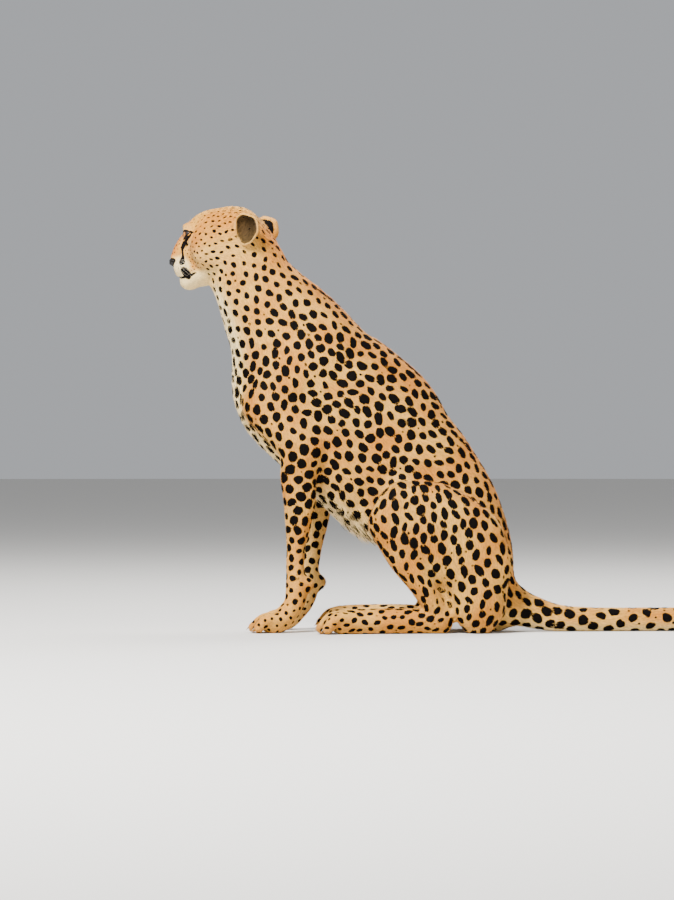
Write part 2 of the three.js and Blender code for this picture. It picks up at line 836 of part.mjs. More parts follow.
/** The bare nose pad, with its nostrils when it is not a cutter. */
function nosePad(grow = 0) {
  const [x, y, z] = NOSE_PAD.at;
  const [a, b, c] = NOSE_PAD.size.map((v) => v + grow);
  const pad = new THREE.SphereGeometry(1, 12, 8).rotateX(Math.PI / 2).scale(a, b, c);
  const made = inHead(pad.translate(x, y, z));
  if (grow) return made;
  const nostrils = Object.values(SIDES).map((side) =>
    inHead(
      new THREE.SphereGeometry(1, 8, 6)
        .scale(7, 3.2, 2.7)
        .rotateZ(-side * 0.75)
        .translate(x - 7, side * 8.5, z - 1),
    ),
  );
  return nostrils.reduce((rest, nostril) => rest.subtract(nostril), made);
}

/** A round band along the line of the mouth from corner to corner, sunk and lowered by a little. */
function mouthBand(sunk, lowered, thicken) {
  const line = [...MOUTH.slice(1).map(([x, y, z, r]) => [x, -y, z, r]).reverse(), ...MOUTH];
  const points = new THREE.CatmullRomCurve3(
    line.map(([x, y, z]) => {
      const point = [x, y, z];
      settle(headLocal, point, 12);
      return new THREE.Vector3(point[0] + sunk, point[1] * (1 - sunk / 30), point[2] - lowered);
    }),
  ).getPoints(20);
  const radii = new THREE.CatmullRomCurve3(line.map((l) => new THREE.Vector3(l[3], 0, 0)))
    .getPoints(20)
    .map((r) => r.x * thicken);
  return inHead(sweep(points, radii, 6));
}

function addHead() {
  const place = new THREE.Vector3();
  const bodyFromHead = (x, y, z) => {
    place.set(x, y, z).applyMatrix4(headPlace);
    return body(place.x, place.y, place.z);
  };
  const grid = ["x", "y", "z"].map((axis) => graded(HEAD_CELLS[axis]));
  let head = inHead(surface(bodyFromHead, grid)).intersect(headCut.ahead);
  for (const [name, side] of Object.entries(SIDES)) {
    addNode("eye_" + name, eyeball(side), eyeMaterial);
    addNode("ear_" + name, ear(side), coat);
    head = head.subtract(eyeball(side, GAP)).subtract(eyeOpening(side)).subtract(ear(side, GAP));
  }
  addNode("nose", nosePad(), leather);
  // The lower lip is a roll under the line, and the line itself is a narrow groove.
  head = head.add(mouthBand(3, 2.6, 1.4)).subtract(mouthBand(0.3, 0, 0.9)).subtract(nosePad(GAP));
  addNode("head", head, coat);
}

function addTrunk() {
  const legs = legRegions(GAP);
  const withoutLegs = (made) => legs.reduce((rest, leg) => rest.subtract(leg), made);
  const neck = bodySolid([-660, -130, 560], [-320, 130, 860], CELLS.neck)
    .intersect(headCut.behind)
    .intersect(neckCut.ahead);
  addNode("neck", neck.subtract(ear(LEFT, GAP)).subtract(ear(RIGHT, GAP)), coat);
  const torso = bodySolid([-640, -180, -30], [90, 180, 760], CELLS.torso);
  addNode("torso", withoutLegs(torso.intersect(neckCut.behind).intersect(tailCut.behind)), coat);
}

function addTail() {
  const root = bodySolid([-10, -80, -30], [280, 90, 150], CELLS.tail);
  addNode("tail_root", root.intersect(tailCut.ahead).intersect(tailMiddleCut.behind), coat);
  const rest = bodySolid([200, -120, -30], [740, 80, 70], CELLS.tail);
  addNode("tail_middle", rest.intersect(tailMiddleCut.ahead).intersect(tailTipCut.behind), coat);
  addNode("tail_tip", rest.intersect(tailTipCut.ahead), coat);
}

function addForeleg(name, side) {
  const region = prism(forelegOutline(side), side, FORELEG_INNER, OUTER);
  const wrist = planeSides([0, 0, WRIST_HEIGHT], [0, 0, 1]);
  const near = Math.min(side * 10, side * 150);
  const far = Math.max(side * 10, side * 150);
  const front = setback(side, 0);
  const back = setback(side, STRAIGHT_ABOVE);
  const leg = bodySolid([-510 + front, near, 20], [-330 + back, far, 430], CELLS.foreleg);
  addNode("foreleg_" + name, leg.intersect(region).intersect(wrist.ahead), coat);
  const place = feet["fore_" + name];
  let paw = bodySolid([-540 + front, near, -30], [-360 + back, far, 90], CELLS.paw);
  paw = paw.intersect(region).intersect(wrist.behind);
  addNode("forepaw_" + name, TOES.reduce((rest, toe) => rest.add(claw(place, toe)), paw), coat);
}

function addHindLeg(name, side) {
  const region = prism(HIND_LEG_OUTLINE, side, HIND_LEG_INNER, OUTER);
  const near = Math.min(side * 30, side * 200);
  const far = Math.max(side * 30, side * 200);
  const leg = bodySolid([-330, near, -30], [60, far, 370], CELLS.hind_leg);
  addNode("hind_leg_" + name, leg.intersect(region).subtract(prism(ANKLE_OUTLINE, side, 0, OUTER, GAP)), coat);
  const lower = bodySolid([-430, near, -30], [-60, far, 100], CELLS.hind_foot);
  const place = feet["hind_" + name];
  const paw = lower.intersect(region).intersect(prism(ANKLE_OUTLINE, side, 0, OUTER));
  addNode("hind_foot_" + name, TOES.reduce((rest, toe) => rest.add(claw(place, toe)), paw), coat);
}

addHead();
addTrunk();
addTail();
for (const [name, side] of Object.entries(SIDES)) {
  addForeleg(name, side);
  addHindLeg(name, side);
}

export default cheetah;
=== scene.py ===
# %% [markdown]
# # A cheetah, sitting
# The CAD part gives the animal as a handful of plain solids, cut where its joints are.
# This script lays one skin over all of them, carves the finer forms into it, grows a coat of
# tufts on it and adds what isn't fur: eyes, lids, nose, lips, claws and whiskers.
# Lengths below are in millimetres, in the CAD part's own frame: the nose points to -X, the
# animal's left side is at -Y and the floor is at z = 0. MM turns them to Blender's metres.

# %% Load the frame
import json
import math
from contextlib import contextmanager

import bpy
import numpy as np
from mathutils import Matrix, Vector, kdtree

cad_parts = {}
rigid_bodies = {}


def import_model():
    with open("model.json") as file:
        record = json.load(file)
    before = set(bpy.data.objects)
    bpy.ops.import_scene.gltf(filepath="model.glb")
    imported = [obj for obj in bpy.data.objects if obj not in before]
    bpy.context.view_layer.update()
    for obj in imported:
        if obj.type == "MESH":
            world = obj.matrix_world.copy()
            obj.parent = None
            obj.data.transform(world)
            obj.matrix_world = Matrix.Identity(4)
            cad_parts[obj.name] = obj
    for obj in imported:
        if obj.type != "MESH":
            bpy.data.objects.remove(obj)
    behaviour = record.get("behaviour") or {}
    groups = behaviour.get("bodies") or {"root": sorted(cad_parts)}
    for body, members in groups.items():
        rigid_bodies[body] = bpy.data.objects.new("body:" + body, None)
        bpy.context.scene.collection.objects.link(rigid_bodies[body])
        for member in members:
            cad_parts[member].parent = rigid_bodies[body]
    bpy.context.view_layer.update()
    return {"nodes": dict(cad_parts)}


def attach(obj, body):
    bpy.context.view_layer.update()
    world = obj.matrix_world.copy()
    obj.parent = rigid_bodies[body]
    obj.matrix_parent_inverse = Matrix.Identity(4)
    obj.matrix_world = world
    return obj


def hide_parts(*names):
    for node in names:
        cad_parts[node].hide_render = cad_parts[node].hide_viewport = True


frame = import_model()
MM = 0.001
LEFT, RIGHT = -1, 1
SIDES = {"left": LEFT, "right": RIGHT}
dice = np.random.default_rng(11)
print("nodes:", sorted(frame["nodes"]))

# %% [markdown]
# ## Camera, floor and light
# A long lens from seven metres away flattens the animal the way a wildlife portrait does. The
# camera looks level across the body from its left side. The studio is a pale floor under one big
# soft light, with a weaker one from the other side so that no form sinks into black.

# %% Camera
CAMERA_X, CAMERA_Y, CAMERA_Z = -334, -7000, 385
FRAME_HEIGHT = 1845  # what the picture's height covers at the animal
AIM_BELOW_CAMERA = 14


def new_object(name, data):
    """Puts an object with this data into the scene."""
    obj = bpy.data.objects.new(name, data)
    bpy.context.scene.collection.objects.link(obj)
    return obj


camera = new_object("camera", bpy.data.cameras.new("camera"))
camera.location = Vector((CAMERA_X, CAMERA_Y, CAMERA_Z)) * MM
camera.rotation_euler = (math.radians(90), 0, 0)
camera.data.sensor_width = 36
camera.data.lens = 36 * -CAMERA_Y / FRAME_HEIGHT
camera.data.shift_y = -AIM_BELOW_CAMERA / FRAME_HEIGHT
camera.data.clip_end = 100
bpy.context.scene.camera = camera
print("lens:", round(camera.data.lens), "mm")

# %% Colours, shader nodes and edit mode
def linear(hex_colour):
    """The linear RGBA of an sRGB hex colour."""
    parts = [int(hex_colour[i : i + 2], 16) / 255 for i in (1, 3, 5)]
    bent = [c / 12.92 if c < 0.04045 else ((c + 0.055) / 1.055) ** 2.4 for c in parts]
    return (*bent, 1)


class Paint:
    """A material built node by node. Each input is a number, a hex colour or a socket to link."""

    def __init__(self, name):
        self.material = bpy.data.materials.new(name)
        self.material.use_nodes = True
        self.tree = self.material.node_tree
        self.tree.nodes.clear()

    def node(self, kind, inputs=None, **settings):
        node = self.tree.nodes.new("ShaderNode" + kind)
        for name, value in settings.items():
            setattr(node, name, value)
        for name, value in (inputs or {}).items():
            if isinstance(value, bpy.types.NodeSocket):
                self.tree.links.new(value, node.inputs[name])
            else:
                node.inputs[name].default_value = linear(value) if isinstance(value, str) else value
        return node.outputs

    def finish(self, inputs):
        """The material, ended by a principled shader with these inputs."""
        shader = self.node("BsdfPrincipled", inputs)[0]
        self.node("OutputMaterial", {"Surface": shader})
        return self.material

    def mix(self, share, first, second):
        return self.node("Mix", {0: share, 6: first, 7: second}, data_type="RGBA")[2]

    def maths(self, operation, *values):
        return self.node("Math", dict(enumerate(values)), operation=operation)[0]

    def number(self, name):
        return self.node("Attribute", attribute_name=name)["Fac"]

    def remap(self, value, low, high, to_low, to_high):
        ends = {"From Min": low, "From Max": high, "To Min": to_low, "To Max": to_high}
        return self.node("MapRange", {"Value": value, **ends})["Result"]

    def texture(self, kind, size, **inputs):
        """A texture with features of a size in millimetres, in the object's own space."""
        place = self.node("TexCoord")["Object"]
        return self.node(kind, {"Vector": place, "Scale": 1 / (size * MM), **inputs})

    def noise(self, size, detail=2.0):
        return self.texture("TexNoise", size, Detail=detail)["Fac"]


def pick(*objects):
    """Selects these objects alone and makes the first one active."""
    bpy.ops.object.select_all(action="DESELECT")
    for obj in objects:
        obj.select_set(True)
    if objects:
        bpy.context.view_layer.objects.active = objects[0]


@contextmanager
def editing(*objects, whole=True):
    """Edit mode for these objects, with the whole of their meshes selected if wanted."""
    pick(*objects)
    bpy.ops.object.mode_set(mode="EDIT")
    if whole:
        bpy.ops.mesh.select_all(action="SELECT")
    yield
    bpy.ops.object.mode_set(mode="OBJECT")


# %% Floor and lights
# In metres. The floor lies a hair below the feet.
STAGE_RADIUS, STAGE_TOP = 30, -0.0006
BODY_CENTRE = (-0.1, 0, 0.4)

pick()
bpy.ops.mesh.primitive_circle_add(radius=STAGE_RADIUS, vertices=96, fill_type="NGON")
floor = bpy.context.object
floor.name = "studio_floor"
floor.location.z = STAGE_TOP
paper = Paint("matt_backdrop_paper").finish({"Base Color": "#D9D6D0", "Roughness": 0.85})
floor.data.materials.append(paper)
for name, place, size, watts in (
    ("key", (-2.0, -3.3, 3.7), 1.4, 820),
    ("fill", (2.8, -3.4, 1.8), 3.0, 60),
    ("top", (0.6, 1.6, 3.6), 2.4, 170),
):
    lamp = bpy.data.lights.new(name, "AREA")
    lamp.size, lamp.energy = size, watts
    light = new_object(name, lamp)
    light.location = place
    light.rotation_euler = (Vector(BODY_CENTRE) - Vector(place)).to_track_quat("-Z", "Y").to_euler()
world = bpy.data.worlds.new("studio")
bpy.context.scene.world = world
world.use_nodes = True
sky = world.node_tree.nodes["Background"].inputs
sky["Color"].default_value, sky["Strength"].default_value = linear("#E6E9EE"), 0.55
print("lights:", len(bpy.data.lights))

# %% [markdown]
# ## The body as one smooth field
# A field is a function that gives, for any point, about how far it is from a surface, negative
# inside. Muscles and limbs are tubes and ovals, and a smooth minimum lets them flow into each
# other like clay. The same forms made the CAD solids, so a skin that is settled on this field
# fits them, without their facets.

# %% Fields
def unit(v):
    return v / np.maximum(np.linalg.norm(v, axis=-1, keepdims=True), 1e-9)


def norm(v):
    return np.linalg.norm(v, axis=-1)


def bell(distance, width):
    """1 at no distance, fading to nothing at about twice the width."""
    return np.exp(-((distance / width) ** 2))


def smooth_min(a, b, blend):
    h = np.maximum(blend - np.abs(a - b), 0) / blend
    return np.minimum(a, b) - h * h * blend / 4


def smooth_max(a, b, blend):
    return -smooth_min(-a, -b, blend)


def ramp(x, low, high):
    """0 below low, 1 above high and a smooth step between."""
    t = np.clip((x - low) / (high - low), 0, 1)
    return t * t * (3 - 2 * t)


def oval_distance(offset, radii):
    k0 = norm(offset / radii)
    k1 = norm(offset / radii**2)
    return k0 * (k0 - 1) / np.maximum(k1, 1e-9)


def spline(rows, steps):
    """Points of a smooth curve through the rows, with the same number of steps between each two."""
    rows = np.asarray(rows, float)
    rows = np.vstack([2 * rows[0] - rows[1], rows, 2 * rows[-1] - rows[-2]])
    points = []
    for a, b, c, d in zip(rows, rows[1:], rows[2:], rows[3:]):
        first, middle, last = (math.sqrt(np.linalg.norm(q - p)) for p, q in ((a, b), (b, c), (c, d)))
        middle = middle if middle > 1e-4 else 1.0
        first = first if first > 1e-4 else middle
        last = last if last > 1e-4 else middle
        leave = ((b - a) / first - (c - a) / (first + middle) + (c - b) / middle) * middle
        arrive = ((c - b) / middle - (d - b) / (middle + last) + (d - c) / last) * middle
        for i in range(steps):
            t = i / steps
            bend = (3 * (c - b) - 2 * leave - arrive) * t * t
            twist = (2 * (b - c) + leave + arrive) * t**3
            points.append(b + leave * t + bend + twist)
    return np.array([*points, rows[-2]])


# %% Ovals and limbs
REACH = 90  # beyond this distance a form has no influence


class Oval:
    def __init__(self, centre, radii, tilt=0):
        self.centre = np.array(centre, float)
        self.radii = np.array(radii, float)
        turn = math.radians(tilt)
        self.turn = np.array(
            [[math.cos(turn), 0, -math.sin(turn)], [0, 1, 0], [math.sin(turn), 0, math.cos(turn)]]
        )

    def __call__(self, p):
        return oval_distance((p - self.centre) @ self.turn.T, self.radii)


class Limb:
    """A tube through rings of centre, half depth and half width. Its width lies along Y."""

    def __init__(self, rings, steps=5):
        rings = np.array(rings, float)
        self.centre = spline(rings[:, :3], steps)
        self.radii = spline(np.c_[rings[:, 3:5], np.zeros(len(rings))], steps)[:, :2]
        self.tangent = unit(np.gradient(self.centre, axis=0))
        self.middle = (self.centre.max(0) + self.centre.min(0)) / 2
        self.extent = norm(self.centre - self.middle).max() + self.radii.max()

    def nearest(self, p):
        """The piece of the tube that each point is nearest to and how far along it, as a share."""
        start, run = self.centre[:-1], np.diff(self.centre, axis=0)
        length2 = (run**2).sum(1)
        along = p @ run.T - (start * run).sum(1)
        t = np.clip(along / length2, 0, 1)
        gap = (start**2).sum(1) - 2 * p @ start.T - 2 * t * along + t * t * length2
        k = gap.argmin(1)
        return k, t[np.arange(len(p)), k][:, None]

    def measure(self, p):
        """Distance, share of the way along and direction along the tube, for each point."""
        reach = norm(p - self.middle) - self.extent
        distance, share, heading = np.maximum(reach, REACH), np.zeros(len(p)), np.zeros((len(p), 3))
        near = reach < REACH
        if not near.any():
            return distance, share, heading
        q = p[near]
        k, t = self.nearest(q)

        def between(rows):
            return rows[k] + t * (rows[k + 1] - rows[k])

        offset = q - between(self.centre)
        tangent = unit(between(self.tangent))
        radii = between(self.radii)
        side = unit(np.array([0.0, 1.0, 0.0]) - tangent * tangent[:, 1:2])
        up = np.cross(tangent, side)
        local = np.stack([(offset * axis).sum(1) for axis in (up, side, tangent)], axis=1)
        distance[near] = oval_distance(local, np.c_[radii, radii.mean(1)])
        share[near] = (k + t[:, 0]) / (len(self.centre) - 1)
        heading[near] = tangent
        return distance, share, heading

    def __call__(self, p):
        return self.measure(p)[0]


def flow(p, first, *others):
    """The first form with each (blend, form) flowing into it in turn."""
    d = first(p)
    for blend, form in others:
        d = smooth_min(d, form(p), blend)
    return d


def towards(field, p, depth, step, flattest, furthest=12):
    """Places moved down the slope of a field, so that they lie the given depth inside it."""
    d = field(p)
    slope = np.stack([field(p + s) - d for s in step * np.eye(3)], axis=1) / step
    steep = np.maximum((slope**2).sum(1), flattest)
    return p - slope * (np.clip(d + depth, -furthest, furthest) / steep)[:, None]


# %% [markdown]
# ## The body's rings
# These rows are the animal's proportions: centre, half depth and half width of the trunk, of each
# limb and of the tail, from the skull to the tail's tip and from each joint to the next.

# %% Rings
TRUNK = [
    [-548, 2, 784, 58, 50], [-524, 0, 759, 79, 60], [-506, 0, 716, 86, 62], [-482, 0, 675, 99, 68],
    [-446, 0, 621, 121, 77], [-420, 0, 572, 145, 86], [-388, 0, 506, 163, 90], [-338, 0, 462, 168, 90],
    [-279, 0, 405, 170, 86], [-225, 0, 344, 158, 83], [-177, 0, 300, 146, 80], [-126, 0, 245, 128, 80],
    [-84, 0, 172, 112, 80], [-52, 0, 105, 92, 76], [-24, 0, 60, 66, 62],
]
SHOULDER = [[-334, 42, 586, 28, 22], [-396, 60, 544, 46, 29], [-484, 62, 466, 44, 30]]
UPPER_ARM = [[-484, 62, 462, 44, 30], [-436, 70, 412, 46, 33], [-402, 71, 374, 42, 31]]
FORELEG = [
    [-402, 71, 376, 42, 31], [-412, 70, 322, 38, 30], [-410, 67, 270, 34, 28], [-413, 63, 220, 27, 25],
    [-418, 59, 168, 19, 21], [-419, 57, 128, 19, 21], [-416, 56, 92, 23, 25], [-421, 57, 58, 22, 24],
    [-438, 58, 34, 23, 26],
]
# The right foreleg stands nearer the tail than the left one, less so at its paw.
RIGHT_ELBOW_SETBACK, RIGHT_PAW_SETBACK, STRAIGHT_ABOVE = 34, 8, 160
THIGH = [[-38, 84, 130, 70, 42], [-82, 90, 178, 92, 46], [-150, 100, 224, 88, 44], [-208, 108, 248, 68, 36]]
SHANK = [[-222, 108, 226, 50, 32], [-196, 104, 160, 40, 29], [-162, 94, 98, 27, 25], [-133, 84, 48, 22, 22]]
HIND_FOOT = [
    [-124, 82, 25, 28, 22], [-160, 85, 24.5, 26.5, 22.5], [-205, 90, 24.5, 27, 24],
    [-270, 96, 24, 27, 26], [-322, 101, 23, 26, 30],
]
TAIL = [
    [-22, 0, 66, 50, 44], [18, 0, 56, 42, 37], [60, 0, 41, 35, 30], [118, 2, 26.5, 28.5, 25.5],
    [205, 8, 23, 25.5, 24.5], [357, 16, 23, 25.5, 24.5], [470, 6, 22.5, 25, 24], [570, -22, 21.5, 24, 23],
    [640, -58, 20, 22.5, 22], [664, -74, 15, 17, 15],
]
# Toes: how far each is to the side, how far it reaches beyond the foot's end, its lift.
TOES = [[-23, 30, 0], [-8.5, 43, 1], [8.5, 44, 1], [23, 32, 0]]
TOE_RADIUS = 11.2
HIND_TOE_RISE = 4  # the toes of the hind feet arch higher by this much
FOREPAW_AHEAD = 22  # from the foreleg's last ring to the middle of its paw

# %% Limbs, toes and the body
def setback(side, z):
    """How much nearer the tail a foreleg of one side stands at a height."""
    if side == LEFT:
        return 0
    return RIGHT_PAW_SETBACK + (RIGHT_ELBOW_SETBACK - RIGHT_PAW_SETBACK) * min(z / STRAIGHT_ABOVE, 1)


def on_side(rings, side, share=0):
    return [[x + share * setback(side, z), side * y, z, *rest] for x, y, z, *rest in rings]


class Foot:
    """The end of a foot: its place, and the level directions ahead and across."""

    def __init__(self, rings, side, share=0, rise=0, straight=False):
        x, y, z = rings[-1][:3]
        heading = unit(np.array([x - rings[-2][0], side * (y - rings[-2][1]), 0.0]))
        self.at = np.array([x + share * setback(side, z), side * y, z], float)
        self.rise = rise
        self.ahead = heading
        if straight:
            self.ahead = np.array([-1.0, 0, 0])
            self.at[0] -= FOREPAW_AHEAD
        self.across = np.array([-self.ahead[1], self.ahead[0], 0])

    def point(self, forward, sideways, z):
        p = self.at + self.ahead * forward + self.across * sideways
        return np.array([p[0], p[1], z])

    def toe_points(self, toe):
        side, reach, lift = toe
        return [
            self.point(-14, side * 0.75, 27 + self.rise),
            self.point(reach * 0.5, side, 26 + lift + self.rise),
            self.point(reach, side * 1.04, 10.5 + lift),
        ]

    def toes(self):
        made = []
        for toe in TOES:
            radii = [TOE_RADIUS + more + self.rise / 5 for more in (0, 1.2, -0.6)]
            made.append(Limb([[*p, r, r] for p, r in zip(self.toe_points(toe), radii)]))
        return made


feet, foreleg_forms, hind_leg_forms = {}, {}, {}
for name, side in SIDES.items():
    feet["fore_" + name] = fore = Foot(FORELEG, side, share=1, straight=True)
    feet["hind_" + name] = hind = Foot(HIND_FOOT, side, rise=HIND_TOE_RISE)
    foreleg_forms[side] = [
        Limb(on_side(FORELEG, side, 1)),
        (14, Oval([-394 + setback(side, 98), side * 56, 98], [14, 13, 15])),
        (14, Oval([fore.at[0] - 2, fore.at[1], 20], [30, 29, 24])),
        *[(5, toe) for toe in fore.toes()],
    ]
    hind_leg_forms[side] = (
        [
            Limb(on_side(THIGH, side)),
            (22, Oval([-46, side * 80, 78], [58, 46, 84])),
            (16, Limb(on_side(SHANK, side))),
        ],
        [
            Limb(on_side(HIND_FOOT, side)),
            (12, Oval([-122, side * 81, 30], [19, 19, 26], -10)),
            *[(5, toe) for toe in hind.toes()],
        ],
    )
trunk, tail = Limb(TRUNK), Limb(TAIL)
shoulder_forms = {}
for side in SIDES.values():
    shoulder_forms[side] = [
        Limb(on_side(SHOULDER, side, 0.5)),
        (20, Limb(on_side(UPPER_ARM, side, 0.5))),
    ]
print("feet:", *feet, "- toes on each:", len(TOES))

# %% [markdown]
# ## The head's forms
# The head has a frame of its own, with the nose tip at 0, x towards the back of the skull and z
# up, so that both sides can be drawn at once by taking y as a distance. A cheetah's head is small,
# short and high in the forehead, with big eyes set well forward.

# %% Head
NOSE_TIP = np.array([-675.0, 62, 762])
HEAD_YAW, HEAD_PITCH = math.radians(-24), math.radians(-10)
EYE_AT = np.array([65.5, 32.5, 38.5])
EYE_RADIUS = 14.5
EYE_FACING = np.array([-0.76, 0.63, 0.12])
EYE_INNER, EYE_OUTER = np.array([50.0, 20, 31]), np.array([75.0, 44, 42])
LID = 2.4
MOUTH = [(9, 0, -37.5), (14.5, 11, -38.5), (31, 22, -41), (50, 27, -42), (68, 31, -40)]
head_turn = np.array(Matrix.Rotation(HEAD_YAW, 3, "Z") @ Matrix.Rotation(HEAD_PITCH, 3, "Y"))


def to_head(p):
    return (p - NOSE_TIP) @ head_turn


def folded(p):
    """Places in the head's frame with its two sides folded onto one: y is a distance."""
    q = to_head(p)
    q[:, 1] = abs(q[:, 1])
    return q


def from_head(p):
    return np.asarray(p) @ head_turn.T + NOSE_TIP


def head_vectors(v):
    """Directions of the head's frame in the body's frame."""
    return np.asarray(v) @ head_turn.T


HEAD_FORMS = [
    Oval([124, 0, 36], [66, 54, 50]),
    (24, Oval([90, 0, 43], [40, 42, 36])),
    (30, Oval([166, 0, 22], [44, 51, 50])),
    (26, Oval([108, 37, 4], [40, 25, 36])),
    (24, Oval([114, 36, -14], [37, 22, 31])),
    (16, Limb([[84, 0, 38, 33, 36], [50, 0, 31, 24, 23], [27, 0, 17, 19.5, 17], [13, 0, 4, 15, 13.5]])),
    (20, Oval([64, 19, 3], [28, 15, 20])),
    (14, Oval([67, 27, 53], [18, 13, 8], 30)),
    (12, Oval([30, 14.5, -19], [21, 16, 18])),
    (9, Oval([17.5, 0, -23], [15, 14, 15.5])),
    (16, Limb([[122, 33, -20, 24, 20], [76, 21, -42, 19, 17], [36, 8, -50, 15, 15]])),
    (9, Oval([31, 0, -50], [19.5, 17, 17])),
    (20, Oval([86, 0, -28], [46, 30, 34])),
    (18, Oval([186, 40, 22], [22, 20, 30])),
]
SOCKET = Oval([46, 27, 33], [11, 8, 10])
LIDS = Oval(EYE_AT, [EYE_RADIUS + LID] * 3)


def head_shape(q):
    w = np.c_[q[:, 0], np.sqrt(q[:, 1] ** 2 + 4), q[:, 2]]
    d = smooth_max(flow(w, *HEAD_FORMS), -SOCKET(w), 12)
    return smooth_min(d, LIDS(w), 7)


def head(p):
    q = to_head(p)
    d = np.full(len(p), float(REACH))
    near = norm(q - [100, 0, 0]) < 220
    d[near] = head_shape(q[near])
    return d


def body(p):
    d = trunk(p)
    for side in SIDES.values():
        d = smooth_min(d, flow(p, *shoulder_forms[side]), 26)
    d = smooth_min(d, tail(p), 26)
    for side in SIDES.values():
        d = smooth_min(d, flow(p, *foreleg_forms[side]), 18)
    for side in SIDES.values():
        leg, foot = hind_leg_forms[side]
        d = smooth_min(d, smooth_min(flow(p, *leg), flow(p, *foot), 7), 16)
    return smooth_min(d, head(p), 30)


print("the field at the tip of the nose:", round(float(body(NOSE_TIP[None])[0]), 1), "mm")

# %% [markdown]
# ## One skin
# The flesh solids are copied, grown by a hair so that they overlap across their cuts, and fused by
# a voxel remesh: one closed skin with even faces. It is unwrapped while it is still coarse, and
# then the head and the feet are subdivided, because they need finer faces than the flanks.

# %% Places of the ears
EARS = {LEFT: np.array([204.0, 58, 22]), RIGHT: np.array([196.0, 53, 24])}
EAR_FACING, EAR_TIP = np.array([-0.14, 0.96, -0.1]), np.array([0.3, 0.12, 0.94])
EAR_LENGTH, EAR_WIDTH, EAR_DEPTH, EAR_WALL = 31.5, 27.5, 19, 3.0
EAR_SQUARE = 0.78  # below 1 the tip is broader than an oval's


def side_axes(facing, along):
    """Rows: along, up across it and out, for a place on the side of the head."""
    out = unit(facing)
    along = unit(along - out * (along @ out))
    return np.stack([along, np.cross(along, out), out])


ear_axes = side_axes(EAR_FACING, EAR_TIP)


def in_ear(q, side):
    """Places in an ear's own frame, from places in the head's frame."""
    return (q * [1, side, 1] - EARS[side]) @ ear_axes.T


def from_ear(local, side):
    return from_head((local @ ear_axes + EARS[side]) * [1, side, 1])


print("an ear faces", ear_axes[2].round(2), "and is", 2 * EAR_LENGTH, "mm long")

# %% Fuse the flesh
FLESH = sorted(n for n in frame["nodes"] if not n.startswith(("eye", "ear", "nose")))
FILLED = [*FLESH, "eye_left", "eye_right", "nose"]
VOXEL = 6.2


def read(items, key, width, kind=np.float32):
    """A property of all the items of a mesh, one row for each."""
    flat = np.empty(len(items) * width, kind)
    items.foreach_get(key, flat)
    return flat.reshape(-1, width)


def vertex_array(mesh):
    return read(mesh.vertices, "co", 3).astype(float)


def normal_array(mesh):
    return read(mesh.vertex_normals, "vector", 3).astype(float)


def set_vertices(mesh, points):
    mesh.vertices.foreach_set("co", np.ascontiguousarray(points, np.float32).ravel())
    mesh.update()


def apply_modifier(obj, kind, **settings):
    bpy.context.view_layer.objects.active = obj
    modifier = obj.modifiers.new(kind.lower(), kind)
    for name, value in settings.items():
        setattr(modifier, name, value)
    bpy.ops.object.modifier_apply(modifier=modifier.name)


OVERLAP = 0.5
copies = []
for name in FILLED:
    copies.append(new_object("flesh", frame["nodes"][name].data.copy()))
    copies[-1].matrix_basis = frame["nodes"][name].matrix_basis
# Plugs fill the hollows that the solids keep for the ears.
for side in SIDES.values():
    bpy.ops.mesh.primitive_uv_sphere_add(segments=32, ring_count=16, radius=1)
    plug = bpy.context.object
    ball = vertex_array(plug.data) * [EAR_LENGTH + 1, EAR_WIDTH + 1, EAR_DEPTH + 1]
    ball[:, 2] *= np.where(ball[:, 2] > 0, 0.15, 1)
    set_vertices(plug.data, from_ear(ball, side) * MM)
    copies.append(plug)
with editing(*copies):
    bpy.ops.mesh.remove_doubles(threshold=1e-6)
    bpy.ops.mesh.normals_make_consistent(inside=False)
for copy in copies:
    apply_modifier(copy, "DISPLACE", strength=OVERLAP * MM, mid_level=0)
pick(*copies)
bpy.ops.object.join()
skin = bpy.context.object
skin.name = skin.data.name = "skin"
skin.data.materials.clear()
apply_modifier(skin, "REMESH", mode="VOXEL", voxel_size=VOXEL * MM)
print("fused skin:", len(skin.data.vertices), "vertices")

# %% Keep the largest closed surface
with editing(skin):
    bpy.ops.mesh.select_all(action="DESELECT")
skin.data.vertices[int(vertex_array(skin.data)[:, 2].argmax())].select = True
with editing(skin, whole=False):
    bpy.ops.mesh.select_linked()
    bpy.ops.mesh.select_all(action="INVERT")
    bpy.ops.mesh.delete(type="VERT")
print("largest surface:", len(skin.data.vertices), "vertices")

# %% Bring it to the field and mesh it again
def edge_pairs(mesh):
    return read(mesh.edges, "vertices", 2, np.int32)


def soften(values, pairs, turns):
    """Draws each vertex's values towards the mean of its neighbours'."""
    rows = values.reshape(len(values), -1)
    here, there = pairs.ravel(), pairs[:, ::-1].ravel()
    count = np.maximum(np.bincount(here, minlength=len(rows)), 1)[:, None]
    for turn in range(turns):
        total = [np.bincount(here, column[there], len(rows)) for column in rows.T]
        rows = (rows + np.stack(total, axis=1) / count) / 2
    return rows.reshape(values.shape)


def place_skin(points):
    """Gives the skin's vertices these places in millimetres, none of them below the floor."""
    points[:, 2] = np.maximum(points[:, 2], 0)
    set_vertices(skin.data, points * MM)


def settle(depth, turns):
    """Moves the skin's vertices down the slope of the body's field to the given depth inside it."""
    pairs = edge_pairs(skin.data)
    points = vertex_array(skin.data) / MM
    for turn in range(turns):
        points = towards(body, soften(points, pairs, 1), depth, 0.4, 0.15)
        points[:, 2] = np.maximum(points[:, 2], 0)
    place_skin(points)
    return points


settle(0, 4)
apply_modifier(skin, "REMESH", mode="VOXEL", voxel_size=VOXEL * MM)
print("even skin:", len(skin.data.vertices), "vertices")

